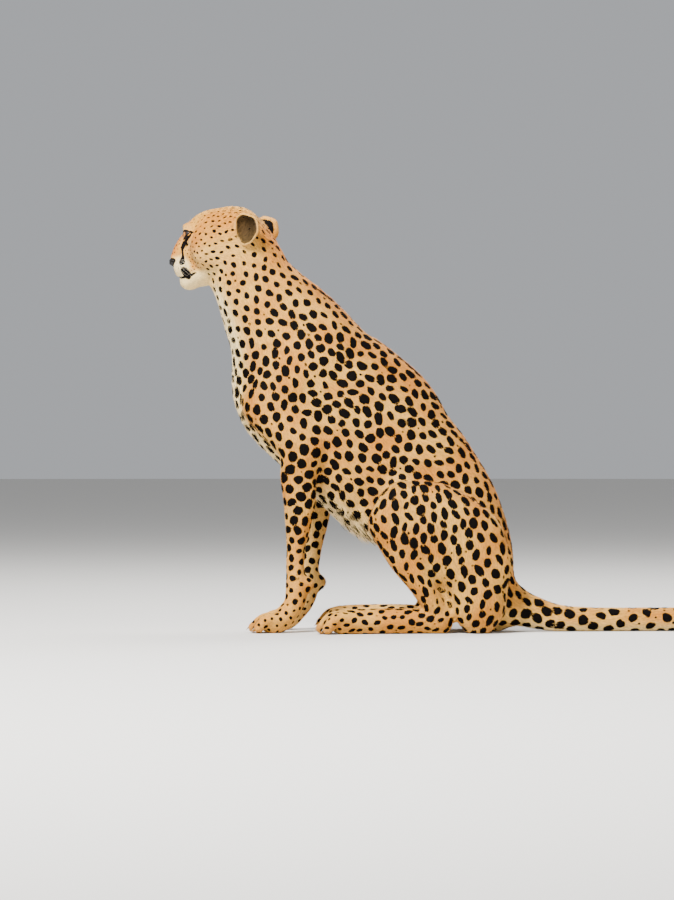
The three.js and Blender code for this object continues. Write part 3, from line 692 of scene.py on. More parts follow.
# %% Unwrap it
ISLAND_ANGLE = math.radians(66)
with editing(skin):
    bpy.ops.uv.smart_project(angle_limit=ISLAND_ANGLE, island_margin=0.001)
skin.data.uv_layers.active.name = "OFBake"
print("unwrapped:", skin.data.uv_layers.active.name)

# %% Finer faces on the head and the feet
def subdivide_where(test):
    """Splits the skin's faces whose corners all pass a test of their places in millimetres."""
    mesh = skin.data
    for items in (mesh.edges, mesh.polygons):
        items.foreach_set("select", np.zeros(len(items), bool))
    mesh.vertices.foreach_set("select", test(vertex_array(mesh) / MM))
    with editing(skin, whole=False):
        bpy.ops.mesh.select_mode(type="VERT")
        bpy.ops.mesh.subdivide(number_cuts=1)


def on_head(p):
    x, y, z = to_head(p).T
    return (x < 150) & (z > -75) & (p[:, 2] > 660)


def on_face(p):
    x, y, z = to_head(p).T
    return (x < 82) & (z > -66) & (z < 64)


def on_ears(p):
    near = np.zeros(len(p), bool)
    for side in SIDES.values():
        x, y, z = in_ear(to_head(p), side).T
        near |= (np.hypot(x / 40, y / 33) < 1) & (abs(z) < 26)
    return near


def on_feet(p):
    x, y, z = p.T
    return ((z < 52) & (x < -395)) | ((z < 48) & (x < -290) & (abs(y) > 60))


subdivide_where(lambda p: on_head(p) | on_ears(p) | on_feet(p))
subdivide_where(lambda p: on_face(p) | on_ears(p))
print("skin with fine head and feet:", len(skin.data.vertices), "vertices")

# %% [markdown]
# ## Settle and sculpt
# Each vertex slides along its normal until the field says that it lies as deep below the coat's
# outside as the coat is thick there. Then strokes press the finer forms in or out: the shoulder
# blade, the folds at the elbow and flank, the brow, the cheeks and the lips.

# %% Where the coat is thick
def measures(p):
    """Distance, share along and direction of every form of the body, for each point."""
    forms = {"trunk": trunk, "tail": tail}
    for name, side in SIDES.items():
        forms["shoulder_" + name] = shoulder_forms[side][0]
        forms["upper_arm_" + name] = shoulder_forms[side][1][1]
        forms["foreleg_" + name] = foreleg_forms[side][0]
        leg, foot = hind_leg_forms[side]
        forms["thigh_" + name] = leg[0]
        forms["shank_" + name] = leg[2][1]
        forms["hind_foot_" + name] = foot[0]
    found = {name: form.measure(p) for name, form in forms.items()}
    found["head"] = (head(p), np.zeros(len(p)), np.zeros((len(p), 3)))
    return found


def shares(found, softness=12):
    """How much each form has to say at each point: its weights add up to 1."""
    distances = np.stack([found[name][0] for name in found], axis=1)
    weight = np.exp(-(distances - distances.min(1, keepdims=True)) / softness)
    weight /= weight.sum(1, keepdims=True)
    return {name: weight[:, i] for i, name in enumerate(found)}


def of_kind(weights, *kinds):
    return sum(weights[name] for name in weights if name.startswith(kinds))


def shaggy(p):
    """The fold of the belly in front of the thigh, where long hair hangs down."""
    return bell(norm((p - [-292, 0, 226]) / [1, 1.8, 1]), 60)


def coat_length(p, found, weights, normals):
    """The hair's length in millimetres: short on face and feet, longest below and on the tail."""
    z = p[:, 2]
    facing_x, facing_y, facing_z = normals.T
    on_neck = ramp(found["trunk"][1], 0.55, 0.05)
    under = ramp(-facing_x * 0.55 - facing_z * 0.83, 0.35, 0.9)
    nape = ramp(facing_z * 0.55 + facing_x * 0.83, 0.6, 0.95) * on_neck
    breast = ramp(-facing_x, 0.6, 0.95) * ramp(z, 400, 450) * ramp(z, 700, 620)
    wrists = [norm(p - [-392 + setback(s, 96), 56 * s, 96]) for s in (LEFT, RIGHT)]
    length = 11 * of_kind(weights, "trunk", "shoulder", "upper_arm", "thigh")
    length += weights["head"] * (3.2 + 6.5 * ramp(to_head(p)[:, 0], 20, 190))
    length += of_kind(weights, "foreleg") * (4.5 + 5 * ramp(z, 60, 330))
    length += of_kind(weights, "shank") * 8 + of_kind(weights, "hind_foot") * 5.5
    length += weights["tail"] * (12 + 12 * ramp(found["tail"][1], 0.86, 1.0))
    length += weights["trunk"] * (under * 9 * (1 - on_neck * 0.3) + nape * 7 + breast * 8)
    length += weights["trunk"] * ramp(under, 0.2, 0.8) * shaggy(p) * 22
    return length + 7 * bell(np.min(wrists, axis=0), 12)


# %% Settle the skin
COAT_RISE = 0.27  # how far the coat stands off the skin, for each millimetre of hair

pairs = edge_pairs(skin.data)
points = settle(0, 1)
found = measures(points)
weights = shares(found)
hair = coat_length(points, found, weights, normal_array(skin.data))
depth = hair * COAT_RISE
points = settle(depth, 2)
# Evens the vertices out, most on the trunk, and keeps the fine forms of head and feet.
share = of_kind(weights, "trunk", "shoulder", "upper_arm", "thigh") ** 2 * (points[:, 2] > 6)
# The fold under the jaw and the hollow behind the ears are softer than where two forms only meet.
q = to_head(points)
throat = bell(norm(abs(q) - [100, 26, 56]), 40) * (q[:, 2] < 0)
behind_ears = bell(norm((abs(q) - [222, 44, 10]) / [1, 1, 1.4]), 34)
share = np.maximum(share, np.clip(1.5 * np.maximum(throat, behind_ears), 0, 1))
points += (soften(points, pairs, 16) - points) * share[:, None]
# Where the back leaves the neck, the trunk's centreline bends and its outside has a faint ridge.
withers = bell(norm((points - [-262, 0, 606]) / [1, 1.3, 1]), 90)
points += (soften(points, pairs, 70) - points) * np.clip(1.4 * withers, 0, 1)[:, None]
place_skin(points)
print("the coat is", round(float(depth.min()), 1), "to", round(float(depth.max()), 1), "mm thick")

# %% Strokes that press the skin in or out
def path_distance(p, path):
    """Distance to a chain of straight pieces."""
    path = np.asarray(path, float)
    best = np.full(len(p), np.inf)
    for a, b in zip(path, path[1:]):
        run = b - a
        t = np.clip(((p - a) @ run) / (run @ run), 0, 1)
        best = np.minimum(best, ((p - a - t[:, None] * run) ** 2).sum(1))
    return np.sqrt(best)


# Seen from the side: height out of the skin, width, and the stroke's path as x, z.
BODY_STROKES = [
    (2.5, 16, [(-330, 572), (-372, 548), (-418, 512), (-462, 470)]),
    (-2.5, 15, [(-300, 560), (-330, 520), (-352, 478), (-366, 436)]),
    (-3.0, 9, [(-366, 436), (-362, 404), (-352, 384)]),
    (-1.8, 7, [(-384, 404), (-372, 378), (-356, 366)]),
    (-2.5, 18, [(-470, 560), (-505, 520), (-522, 476)]),
    (-3.5, 14, [(-292, 262), (-262, 308), (-214, 332), (-150, 318), (-96, 300)]),
    (3.0, 20, [(-270, 226), (-236, 256), (-190, 272)]),
    (-2.0, 16, [(-196, 214), (-150, 196), (-110, 150)]),
    (-2.4, 10, [(-141, 117), (-128, 79), (-119, 43), (-104, 20)]),
    (2.0, 8, [(-176, 122), (-154, 84), (-136, 52)]),
    (-2.0, 8, [(-398, 330), (-394, 290), (-398, 246)]),
    (1.6, 8, [(-404, 180), (-408, 130)]),
]
# In the head's frame, on both sides alike: height, width and the path as x, distance from the middle, z.
HEAD_STROKES = [
    (1.3, 6, [(46, 20, 44), (58, 30, 55), (74, 41, 56)]),
    (-1.0, 4, [(50, 27, 22), (62, 36, 25), (76, 44, 31)]),
    (-1.0, 5, [(46, 15, 24), (30, 12, 9), (18, 11, 0)]),
    (1.2, 9, [(24, 16, -16), (32, 20, -18)]),
    (-1.2, 3, [(5, 0, -14), (6, 0, -30)]),
    (-1.0, 8, [(70, 36, -36), (92, 44, -40), (112, 44, -34)]),
    (1.5, 11, [(92, 46, -14), (112, 50, -6), (132, 48, 6)]),
    (-0.8, 8, [(60, 0, 66), (96, 0, 86), (130, 0, 90)]),
]


def on_surface(path):
    """The places of a path moved onto the head, down the slope of its field."""
    path = np.array(path, float)
    for turn in range(6):
        path = towards(head_shape, path, 0, 0.2, 0.05, furthest=1000)
    return path


LIP_LINE = spline(on_surface(MOUTH), 6)

# %% Press them into the skin
def toe_clefts(p):
    """Distance to the nearest of the clefts between the toes, measured level and across."""
    nearest = np.full(len(p), 99.0)
    for foot in feet.values():
        offset = p - foot.at
        forward, sideways = offset @ foot.ahead, offset @ foot.across
        for a, b in zip(TOES, TOES[1:]):
            middle = (a[0] + b[0]) / 2 * (1 + 0.05 * forward / 40)
            off_end = np.maximum(np.maximum(-4 - forward, forward - 60), 0)
            nearest = np.minimum(nearest, np.hypot(sideways - middle, off_end))
    return nearest


def toe_cleft(p, normals, width):
    """1 deep in a cleft between two toes, on the upper side of a foot, and 0 away from it."""
    low = p[:, 2] < 60
    share = np.zeros(len(p))
    share[low] = bell(toe_clefts(p[low]), width) * ramp(normals[low, 2], -0.5, 0.2)
    return share


def pressed(p, normals):
    side_plane = p[:, [0, 2]]
    facing_out = ramp(abs(normals[:, 1]), 0.15, 0.6) * (abs(p[:, 1]) > 20)
    height = np.zeros(len(p))
    for amount, width, path in BODY_STROKES:
        height += amount * bell(path_distance(side_plane, path), width) * facing_out
    q = folded(p)
    near = (q[:, 0] < 200) & (p[:, 2] > 640)
    for amount, width, path in HEAD_STROKES:
        height[near] += amount * bell(path_distance(q[near], on_surface(path)), width)
    height -= 3.4 * toe_cleft(p, normals, 2.6)
    lips = path_distance(q[near], LIP_LINE)
    height[near] += 0.9 * bell(lips, 5) - 2.6 * bell(lips, 1.7)
    return height


normals = normal_array(skin.data)
points = vertex_array(skin.data) / MM
height = pressed(points, normals)
place_skin(points + normals * height[:, None])
print("pressed in by", round(-float(height.min()), 1), "and out by", round(float(height.max()), 1), "mm")

# %% [markdown]
# ## Lids and ears
# The field closes the skin over the eyeballs. Inside each almond the skin is pushed down behind the
# eye, which leaves two lids as thick as the fold of skin that they are. The ears are thin shells
# joined to the skin by a union.

# %% Open the lids
EYE_HALF = 15.5
LID_UP, LID_DOWN = 8.4, 6.8
eye_axes = side_axes(EYE_FACING, EYE_OUTER - EYE_INNER)


def in_eye(fold):
    """Places in an eye's frame: along towards the outer corner, up and out."""
    return (fold - EYE_AT) @ eye_axes.T


def almond(local):
    """About how far a place is inside the opening between the lids, negative on the lids."""
    along, up, out = local.T
    share = np.clip(1 - (along / EYE_HALF) ** 2, -2, 1)
    return np.where(up > 0, LID_UP, LID_DOWN) * np.sign(share) * abs(share) ** 0.8 - abs(up)


points = vertex_array(skin.data) / MM
q = to_head(points)
local = in_eye(folded(points))
radius = norm(local)
inside = ramp(almond(local), -0.5, 0.7) * (local[:, 2] > 2) * (radius < 24)
target = local / radius[:, None] * (radius + (EYE_RADIUS - 2 - radius) * inside)[:, None]
moved = target @ eye_axes + EYE_AT
moved[:, 1] *= np.sign(q[:, 1])
chosen = inside > 0
points[chosen] = from_head(moved[chosen])
place_skin(points)
print("vertices between the lids:", int(chosen.sum()))

# %% Make meshes from arrays
def make_object(name, points, faces):
    """An object from points in millimetres and faces with an equal number of corners."""
    mesh = bpy.data.meshes.new(name)
    corners = faces.shape[1]
    mesh.vertices.add(len(points))
    mesh.vertices.foreach_set("co", np.ascontiguousarray(points * MM, np.float32).ravel())
    mesh.loops.add(faces.size)
    mesh.loops.foreach_set("vertex_index", np.ascontiguousarray(faces, np.int32).ravel())
    mesh.polygons.add(len(faces))
    mesh.polygons.foreach_set("loop_start", np.arange(len(faces), dtype=np.int32) * corners)
    mesh.update(calc_edges=True)
    mesh.shade_smooth()
    return new_object(name, mesh)


def lathe_faces(rings, around):
    """Quads between rings of points, each ring closed."""
    i, j = np.mgrid[: rings - 1, :around].reshape(2, -1) * [[around], [1]]
    k = (j + 1) % around
    return np.stack([i + j, i + k, i + around + k, i + around + j], axis=1)


# %% The bowl of an ear
def ear_edge(angle, inset):
    """The outline of an ear, broad at its tip: places along and across it."""
    along, across = np.cos(angle), np.sin(angle)
    power = np.where(along > 0, EAR_SQUARE, 1.0)
    x = np.sign(along) * abs(along) ** power * (EAR_LENGTH - inset)
    y = np.sign(across) * abs(across) ** power * (EAR_WIDTH - inset)
    return x, y * (1 - 0.15 * np.maximum(-along, 0))


def bowl(depth, first, rings):
    """Rings of a bowl from its pole to its edge: a share of its width and a height."""
    turns = np.linspace(first, 1, rings) * math.pi / 2
    return [(math.sin(t), -math.cos(t) * depth) for t in turns]


def ear_shell(side):
    """A bowl with a thin round rim, its walls a little uneven."""
    around, wall, rings = 80, EAR_WALL, 20
    outer = [(share, height, 0) for share, height in bowl(EAR_DEPTH, 0.03, rings)]
    rim = [(1, 0.5 * wall, 0.15 * wall), (1, 0.75 * wall, 0.5 * wall), (1, 0.5 * wall, 0.85 * wall)]
    inner = [(share, height, wall) for share, height in bowl(EAR_DEPTH - wall, 0.03, rings)]
    angle = np.linspace(0, 2 * math.pi, around, endpoint=False)
    points = []
    for share, height, inset in [*outer, *rim, *inner[::-1]]:
        wave = 1 + 0.025 * share**3 * np.sin(3 * angle + side) + 0.015 * share**3 * np.sin(7 * angle)
        x, y = ear_edge(angle, inset)
        lean = share**2 * 1.6 * np.cos(2 * angle)
        points.append(np.stack([x * share * wave, y * share * wave, height + lean], axis=1))
    faces = lathe_faces(len(points), around)
    points = from_ear(np.concatenate(points), side)
    steps = np.linspace(0.03, 1, rings)
    part = np.repeat(np.concatenate([steps, [2, 2, 2], 4 - steps[::-1]]), around)
    return make_object("ear_shell", points, faces), points, part


def hollow_cutter(side):
    """The room inside an ear, out to beyond the head, as far as the middle of the ear's wall."""
    half, around = EAR_WALL * 0.55, 64
    angle = np.linspace(0, 2 * math.pi, around, endpoint=False)
    rows = [*bowl(EAR_DEPTH - half, 0.05, 16), (1.02, 8), (1.06, 24), (0.02, 24)]
    x, y = ear_edge(angle, half)
    points = [np.stack([x * share, y * share, 0 * x + height], axis=1) for share, height in rows]
    return make_object("ear_room", from_ear(np.concatenate(points), side), lathe_faces(len(rows), around))


# %% Join the ears to the skin
def close_and_turn_out(obj):
    """Fills the two small holes at the poles and turns all faces out."""
    with editing(obj):
        bpy.ops.mesh.select_non_manifold(extend=False)
        bpy.ops.mesh.fill()
        bpy.ops.mesh.select_all(action="SELECT")
        bpy.ops.mesh.normals_make_consistent(inside=False)


def combine(other, operation):
    """Joins another object to the skin, or cuts it out, and removes it."""
    close_and_turn_out(other)
    apply_modifier(skin, "BOOLEAN", operation=operation, solver="MANIFOLD", object=other)
    bpy.data.objects.remove(other)


MOST_EAR_POINTS = 20000
ear_tree = kdtree.KDTree(MOST_EAR_POINTS)
ear_parts = []
for side in SIDES.values():
    room = hollow_cutter(side)
    shell, places, part = ear_shell(side)
    for hollow_part in (room, shell):
        hollow_part.data.uv_layers.new(name="OFBake")
    for place, value in zip(places, part):
        ear_tree.insert(place, len(ear_parts))
        ear_parts.append(value)
    combine(room, "DIFFERENCE")
    with editing(shell):
        bpy.ops.uv.smart_project(angle_limit=ISLAND_ANGLE)
    combine(shell, "UNION")
    print("skin with ear:", len(skin.data.vertices), "vertices")
ear_tree.balance()
with editing(skin):
    bpy.ops.mesh.quads_convert_to_tris()
bpy.ops.object.shade_smooth()
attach(skin, "root")
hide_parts(*FLESH, "ear_left", "ear_right")
print("skin:", len(skin.data.polygons), "triangles")

# %% [markdown]
# ## The lie of the coat and its markings
# Hair lies from the nose back over the head, down the neck and flanks, down the legs and along the
# tail. The markings are worked out once, at the skin's vertices, as numbers that both the skin
# and the coat read: how far a place is from the edge of a spot, how pale it is and how warm. One
# more number darkens the colour with painted shade: deep in the ear cups, whose inner skin is also
# darker, and in the clefts between the toes.

# %% Lie of the coat
points = vertex_array(skin.data) / MM
normals = normal_array(skin.data)
pairs = edge_pairs(skin.data)
found = measures(points)
weights = shares(found)
q = to_head(points)


def local_direction(name):
    if name == "head":
        from_nose = np.stack([q[:, 0] + 30, q[:, 1] * 0.9, q[:, 2] * 0.75 - 6], axis=1)
        return unit(head_vectors(from_nose))
    if name.startswith(("shoulder", "upper_arm")):
        return np.array([0.30, 0, -1.0])
    if name.startswith("thigh"):
        return np.array([0.12, 0, -1.0])
    return found[name][2]


lie = sum(weights[name][:, None] * local_direction(name) for name in weights)
for foot in feet.values():
    near = bell(norm(points - foot.point(8, 0, 12)), 34)[:, None]
    lie = lie * (1 - near) + (foot.ahead + [0, 0, -0.35]) * near
# Along the shell of an ear: 0 at the middle of its back, 1 at its edge, 2 on the rim, 3 to 4 inside.
ON_SHELL = 3.2
ear_part = np.full(len(points), -1.0)
for i in np.nonzero(on_ears(points))[0]:
    place, nearest, distance = ear_tree.find(points[i])
    if distance < ON_SHELL:
        ear_part[i] = ear_parts[nearest]
for side in SIDES.values():
    x, y, z = in_ear(q, side).T
    ear_part[(np.hypot(x, y) < 7) & (abs(z + EAR_DEPTH / 2) < EAR_DEPTH / 2 - 1.2)] = 4
ears = ear_part >= 0
cup = ear_part >= 2.5
for side in SIDES.values():
    outward = unit(in_ear(q, side) * [1, 1, 0]) @ ear_axes
    across_cup = np.where(cup[:, None], outward * 0.35 + EAR_TIP + [0.9, 0, 0], outward + EAR_TIP * 0.6)
    direction = head_vectors(across_cup * [1, side, 1])
    here = ears & (q[:, 1] * side > 0)
    lie = np.where(here[:, None], direction, lie)
lie = lie - normals * (lie * normals).sum(1, keepdims=True)
lie = unit(soften(unit(lie), pairs, 8))
print("vertices on the ears:", int(ears.sum()))

# %% Size of the spots
triangles = read(skin.data.loops, "vertex_index", 1, np.int32).reshape(-1, 3)
first, second, third = points[triangles].transpose(1, 0, 2)
face_area = norm(np.cross(second - first, third - first)) / 2
face_share = np.bincount(triangles.ravel(), np.repeat(face_area / 3, 3), len(points))
# What the spots are like on each part: smallest gap, size, and length for their width.
SPOT_KINDS = {
    ("shoulder", "upper_arm"): (18.2, 18.0, 1.15),
    ("thigh",): (18.6, 19.2, 1.35),
    ("shank",): (16.5, 17.5, 1.6),
    ("hind_foot",): (15.0, 13.0, 1.3),
    ("tail",): (21.0, 21.5, 1.05),
}


def spot_plan(p, found, weights):
    """Smallest gap from spot to spot, size of the spots, and their length for their width."""
    x, y, z = p.T
    head_x, _, head_z = to_head(p).T
    forehead, rear = ramp(head_z, 20, 60), ramp(head_x, 50, 130)
    along = found["trunk"][1]
    neck, nape = ramp(along, 0.40, 0.14), ramp(along, 0.16, 0.02)
    down_leg = ramp(z, 380, 90)
    kinds = {
        ("head",): (
            6.4 + 4.0 * rear - 0.8 * forehead,
            3.1 + 3.0 * rear - 1.3 * forehead,
            1.3 + 0.35 * rear,
        ),
        ("trunk",): (19.4 - 1.8 * neck - 1.6 * nape, 19.6 - 6.2 * neck - 2.8 * nape, 1.15),
        ("foreleg",): (20.5 - 5.5 * down_leg, 23.5 - 11.0 * down_leg, 0.9),
        **SPOT_KINDS,
    }
    gap, size, stretch = (
        sum(of_kind(weights, *names) * values[i] for names, values in kinds.items()) for i in range(3)
    )
    paws = np.maximum(ramp(x, -430, -455) * ramp(z, 75, 55), ramp(x, -300, -330) * (z < 60))
    over_heel = ramp(np.hypot(x + 123, z - 80), 42, 20) * (abs(y) > 50)
    return gap - 2.5 * paws, (size - 4.5 * paws) * (1 - 0.42 * over_heel), stretch


print("skin:", round(float(face_area.sum()) / 1e6, 2), "square metres")

# %% Scatter the spots
SPOT_TRIES, MOST_SPOTS, DOT_TRIES = 32000, 12000, 9000
DOT_GAP = 15  # only coats with gaps wider than this get small dots


def scatter(density, count):
    """Random places on the skin, more where the density is higher: triangle and weights."""
    total = np.cumsum(face_area * density[triangles].mean(1))
    picks = (np.arange(count) + dice.random(count)) * total[-1] / count
    chosen = np.minimum(np.searchsorted(total, picks), len(total) - 1)
    u, v = dice.random(count), dice.random(count)
    over = u + v > 1
    u, v = np.where(over, 1 - u, u), np.where(over, 1 - v, v)
    return chosen, np.stack([1 - u - v, u, v], axis=1)


def blend_at(values, chosen, mix):
    return np.einsum("nk,nk...->n...", mix, values[triangles[chosen]])


def tree_of(places):
    tree = kdtree.KDTree(len(places))
    for i, place in enumerate(places):
        tree.insert(place, i)
    tree.balance()
    return tree


gap, size, stretch = spot_plan(points, found, weights)
chosen, mix = scatter(1 / gap**2, SPOT_TRIES)
order = dice.permutation(len(chosen))
chosen, mix = chosen[order], mix[order]
kept = np.empty((MOST_SPOTS, 3))
count = 0
for place, least in zip(blend_at(points, chosen, mix), blend_at(gap, chosen, mix)):
    if count == 0 or ((kept[:count] - place) ** 2).sum(1).min() > least * least:
        kept[count] = place
        count += 1
spots = kept[:count]
skin_tree = tree_of(points)


def onto_skin(places):
    """Places moved along the skin's normals onto it, and the vertices they are nearest to."""
    at = np.array([skin_tree.find(place)[1] for place in places])
    return places - normals[at] * ((places - points[at]) * normals[at]).sum(1, keepdims=True), at


# Each spot moves to the middle of the skin that is nearest to it, which evens out the gaps.
weight = face_share / gap**2
for turn in range(3):
    owners = tree_of(spots)
    owner = np.array([owners.find(p)[1] for p in points])
    middle = np.stack([np.bincount(owner, weight * column, count) for column in points.T], axis=1)
    middle /= np.maximum(np.bincount(owner, weight, count), 1e-9)[:, None]
    spots = spots + (middle - spots) * 0.7
spots, at = onto_skin(spots)
spot_size = size[at] * dice.uniform(0.78, 1.16, count)
spot_stretch = stretch[at] * dice.uniform(0.85, 1.45, count)
spot_normal = normals[at]
spot_lie = unit(lie[at] + np.cross(spot_normal, lie[at]) * dice.normal(0, 0.4, (count, 1)))
# Small dots fill the wider gaps.
chosen, mix = scatter(1 / gap**2, DOT_TRIES)
dots, taken = [], [*spots]
places, gaps = blend_at(points, chosen, mix), blend_at(gap, chosen, mix)
for i, (place, least) in enumerate(zip(places, gaps)):
    if least > DOT_GAP and ((np.array(taken) - place) ** 2).sum(1).min() > (0.80 * least) ** 2:
        dots.append(i)
        taken.append(place)
chosen, mix = chosen[dots], mix[dots]
spots = np.concatenate([spots, places[dots]])
spot_size = np.concatenate([spot_size, gaps[dots] * dice.uniform(0.18, 0.34, len(dots))])
spot_stretch = np.concatenate([spot_stretch, dice.uniform(1.0, 1.4, len(dots))])
spot_lie = np.concatenate([spot_lie, unit(blend_at(lie, chosen, mix))])
spot_normal = np.concatenate([spot_normal, unit(blend_at(normals, chosen, mix))])
print("spots:", len(spots), "of them small dots:", len(dots))

# %% Distance to the edge of the nearest spot
FAR = 30  # stands for far away from every mark
NEAREST = 6
spot_tree = tree_of(spots)
near_spots = np.array([[index for place, index, gap in spot_tree.find_n(p, NEAREST)] for p in points])
spot_across = np.cross(spot_normal, spot_lie)
half_long = spot_size / 2 * np.sqrt(spot_stretch)
half_wide = spot_size / 2 / np.sqrt(spot_stretch)


def in_spot(p, i):
    """Places along and across the spots i, counted so that the edge of each is at 1."""
    offset = p - spots[i]
    along, across = (offset * spot_lie[i]).sum(-1), (offset * spot_across[i]).sum(-1)
    return along / half_long[i], across / half_wide[i]


def spot_distances(p, up, near):
    """Signed distance to the edge of each of a few spots, far where the skin faces another way."""
    rows = []
    for i in near.T:
        away = (up * spot_normal[i]).sum(-1) < 0.3
        rows.append((np.hypot(*in_spot(p, i)) - 1) * spot_size[i] / 2 + FAR * away)
    return np.stack(rows)


print("longest spot:", round(2 * float(half_long.max())), "mm")

# %% Lines of the face, rings of the tail, ears and whisker rows
def on_skin(places):
    """Places of the head's frame moved onto the skin of the left side."""
    return to_head(onto_skin(from_head(np.asarray(places) * [1, LEFT, 1]))[0]) * [1, LEFT, 1]


def drawn(path, widths):
    """A line on the head as rows of a place and a half width."""
    rows = spline(np.c_[on_surface(path), widths], 6)
    return np.c_[on_skin(rows[:, :3]), rows[:, 3]]


def line(fold, rows):
    """Signed distance to a line whose half width changes along it."""
    return np.min([norm(fold - row[:3]) - row[3] for row in rows], axis=0)


WHISKER_ROWS, WHISKERS_IN_ROW = 3, 5
WHISKER_ROOTS = [
    (20 + 4.8 * column + row, 16 + 2.0 * column + row, -10 - 5.6 * row + 0.6 * column)
    for row in range(WHISKER_ROWS)
    for column in range(WHISKERS_IN_ROW)
]
WHISKER_ROOTS = on_skin(on_surface(WHISKER_ROOTS))
TEAR_LINE = drawn(
    [
        *[(55, 23.5, 34), (50.5, 20.5, 31.5), (46, 18.6, 30), (42, 18.8, 28), (39.2, 20.9, 22)],
        *[(37.2, 23.6, 14), (35.4, 25.2, 6.5), (35.2, 27.4, -2), (35.8, 29.5, -11)],
    ],
    [3.2, 4.4, 4.8, 5.0, 5.4, 6.2, 6.6, 6.6, 6.4],
)
LOWER_LID = [(77, 47, 40), (70, 48, 34), (61, 45, 29), (53, 35, 25), (46, 23, 27)]
LOWER_LID = drawn(LOWER_LID, [1.8, 2.6, 3.4, 3.2, 3.2])
LIP_PATCH = drawn([(37, 28, -28), (39, 26, -35), (45, 27, -41)], [7.0, 9.5, 8.5])
OUTER_CORNER = drawn([(74, 44, 43), (80, 46, 41), (88, 48, 38)], [2.6, 1.9, 0.8])
LIPS = drawn(MOUTH, [1.4, 1.7, 3.2, 3.4, 1.6])


def lid_edge(fold):
    """Distance from the opening between the lids, only near the eye."""
    local = in_eye(fold)
    return np.where((local[:, 2] > 2) & (norm(local) < 26), -almond(local), FAR)


def nose_edge_of(fold):
    return norm((fold - [6, 0, -4]) / [12, 16.5, 10.5]) * 12 - 13.0


print("whiskers on each side:", len(WHISKER_ROOTS))

# %% All the marks that aren't spots
def face_lines(p):
    """The face's own lines as a signed distance, and the parts of the face that have no spots."""
    fold = folded(p)
    near = (fold[:, 0] < 100) & (p[:, 2] > 650)
    fold = fold[near]
    nose_edge = nose_edge_of(fold)
    plain = np.zeros(len(p), bool)
    plain[near] = (norm(fold - [24, 14, -20]) < 34) | (nose_edge < 6) | (norm(fold - EYE_AT) < 24)
    plain[near] |= (fold[:, 2] < -34) & (fold[:, 0] < 92)
    lines = [nose_edge, lid_edge(fold) - 3.0]
    lines += [line(fold, rows) for rows in (TEAR_LINE, LOWER_LID, OUTER_CORNER, LIPS, LIP_PATCH)]
    lines += [norm(fold - root) - 1.0 for root in WHISKER_ROOTS]
    mark = np.full(len(p), float(FAR))
    mark[near] = np.min(lines, axis=0)
    return mark, plain


TAIL_TIP, FIRST_RING, RING_STEP = 648, 430, 62


def markings(p, tail_share, part):
    """All marks but the spots, at any places on the coat, and where there are no spots."""
    x, y, z = p.T
    mark, plain = face_lines(p)
    phase = (x - FIRST_RING) / RING_STEP + 0.06 * np.sin(np.arctan2(y, z - 22) * 2)
    on_rings = (tail_share > 0.5) & (x > FIRST_RING + 2)
    mark = np.where(on_rings, (abs(phase - np.round(phase)) - 0.27) * RING_STEP, mark)
    band = np.maximum(part - 0.55, 0.2 - part) * 30
    mark = np.where((part >= 0) & (part < 1), band, mark)
    mark = np.where((x > TAIL_TIP) | (part >= 1), 12, mark)
    return mark, plain | on_rings | (part >= 0)


mark, plain = markings(points, weights["tail"], ear_part)
mark = np.where(plain, mark, np.minimum(mark, spot_distances(points, normals, near_spots).min(0)))
fold = folded(points)
lid = lid_edge(fold)
nose_edge = nose_edge_of(fold)
print("vertices that take no spots:", int(plain.sum()))

# %% Pale and warm parts, and painted shade in the ear cups and toe clefts
x, y, z = points.T
facing_x, facing_y, facing_z = normals.T
face_x, face_y, face_z = fold.T
head_part, trunk_part, tail_part = (weights[name] for name in ("head", "trunk", "tail"))
down = ramp(-facing_z * 0.85 - facing_x * 0.5, 0.25, 0.95)
chest = ramp(-facing_x * 0.9 - facing_z * 0.45, 0.35, 0.9) * ramp(z, 330, 400) * ramp(z, 760, 700)
muzzle = ramp(norm(fold - [22, 14, -20]), 40, 24)
by_eye = ramp(norm(fold - EYE_AT), 25, 18) * (z > 700)
inner_side = 0
for name, side in SIDES.items():
    legs = of_kind(weights, *(leg + name for leg in ("foreleg_", "hind_foot_", "shank_", "thigh_")))
    inner_side = inner_side + legs * ramp(-facing_y * side, 0.1, 0.8)
pale = [
    trunk_part * down * ramp(z, 740, 600),
    trunk_part * chest,
    0.4 * inner_side,
    0.8 * tail_part * ramp(-facing_z, 0.0, 0.7),
    muzzle * ramp(face_z, 14, -6),
    0.9 * head_part * ramp(face_z, -24, -44),
    0.5 * by_eye * ramp(face_y, 50, 36),
    0.45 * head_part * ramp(face_y, 30, 48) * ramp(face_z, 20, -20),
    x > TAIL_TIP,
    (ear_part >= 0.9) * np.where(ear_part < 2.4, 0.2, 0.3),
]
back = ramp(facing_z * 0.6 + facing_x * 0.7, 0.3, 0.95)
nose_bridge = head_part * ramp(face_y, 20, 8) * ramp(face_z, -2, 10) * ramp(face_x, 90, 40)
cheek = head_part * ramp(norm(fold - [84, 46, 12]), 34, 12)
warm = 0.55 * back * trunk_part + 0.9 * nose_bridge + 0.5 * cheek + 0.25
pale, warm = soften(np.clip([np.maximum.reduce(pale), warm], 0, 1).T, pairs, 4).T
# Painted shade: the colour darkens down into each ear's cup, partly for its darker inner skin and partly as
# painted shadow deep inside, and in the clefts between the toes as painted shadow.
shade = np.interp(ear_part, [1.9, 2.2, 2.6, 3.1, 4.0], [1.0, 0.55, 0.24, 0.11, 0.06])
shade = soften(shade * (1 - 0.62 * toe_cleft(points, normals, 2.4)), pairs, 1)
print("pale part of the skin:", round(float((pale > 0.5).mean()), 2))

# %% Hand the numbers to the skin
def set_attribute(mesh, name, values):
    kind, field = ("FLOAT", "value") if values.ndim == 1 else ("FLOAT_VECTOR", "vector")
    attribute = mesh.attributes.new(name, kind, "POINT")
    attribute.data.foreach_set(field, np.ascontiguousarray(values, np.float32).ravel())
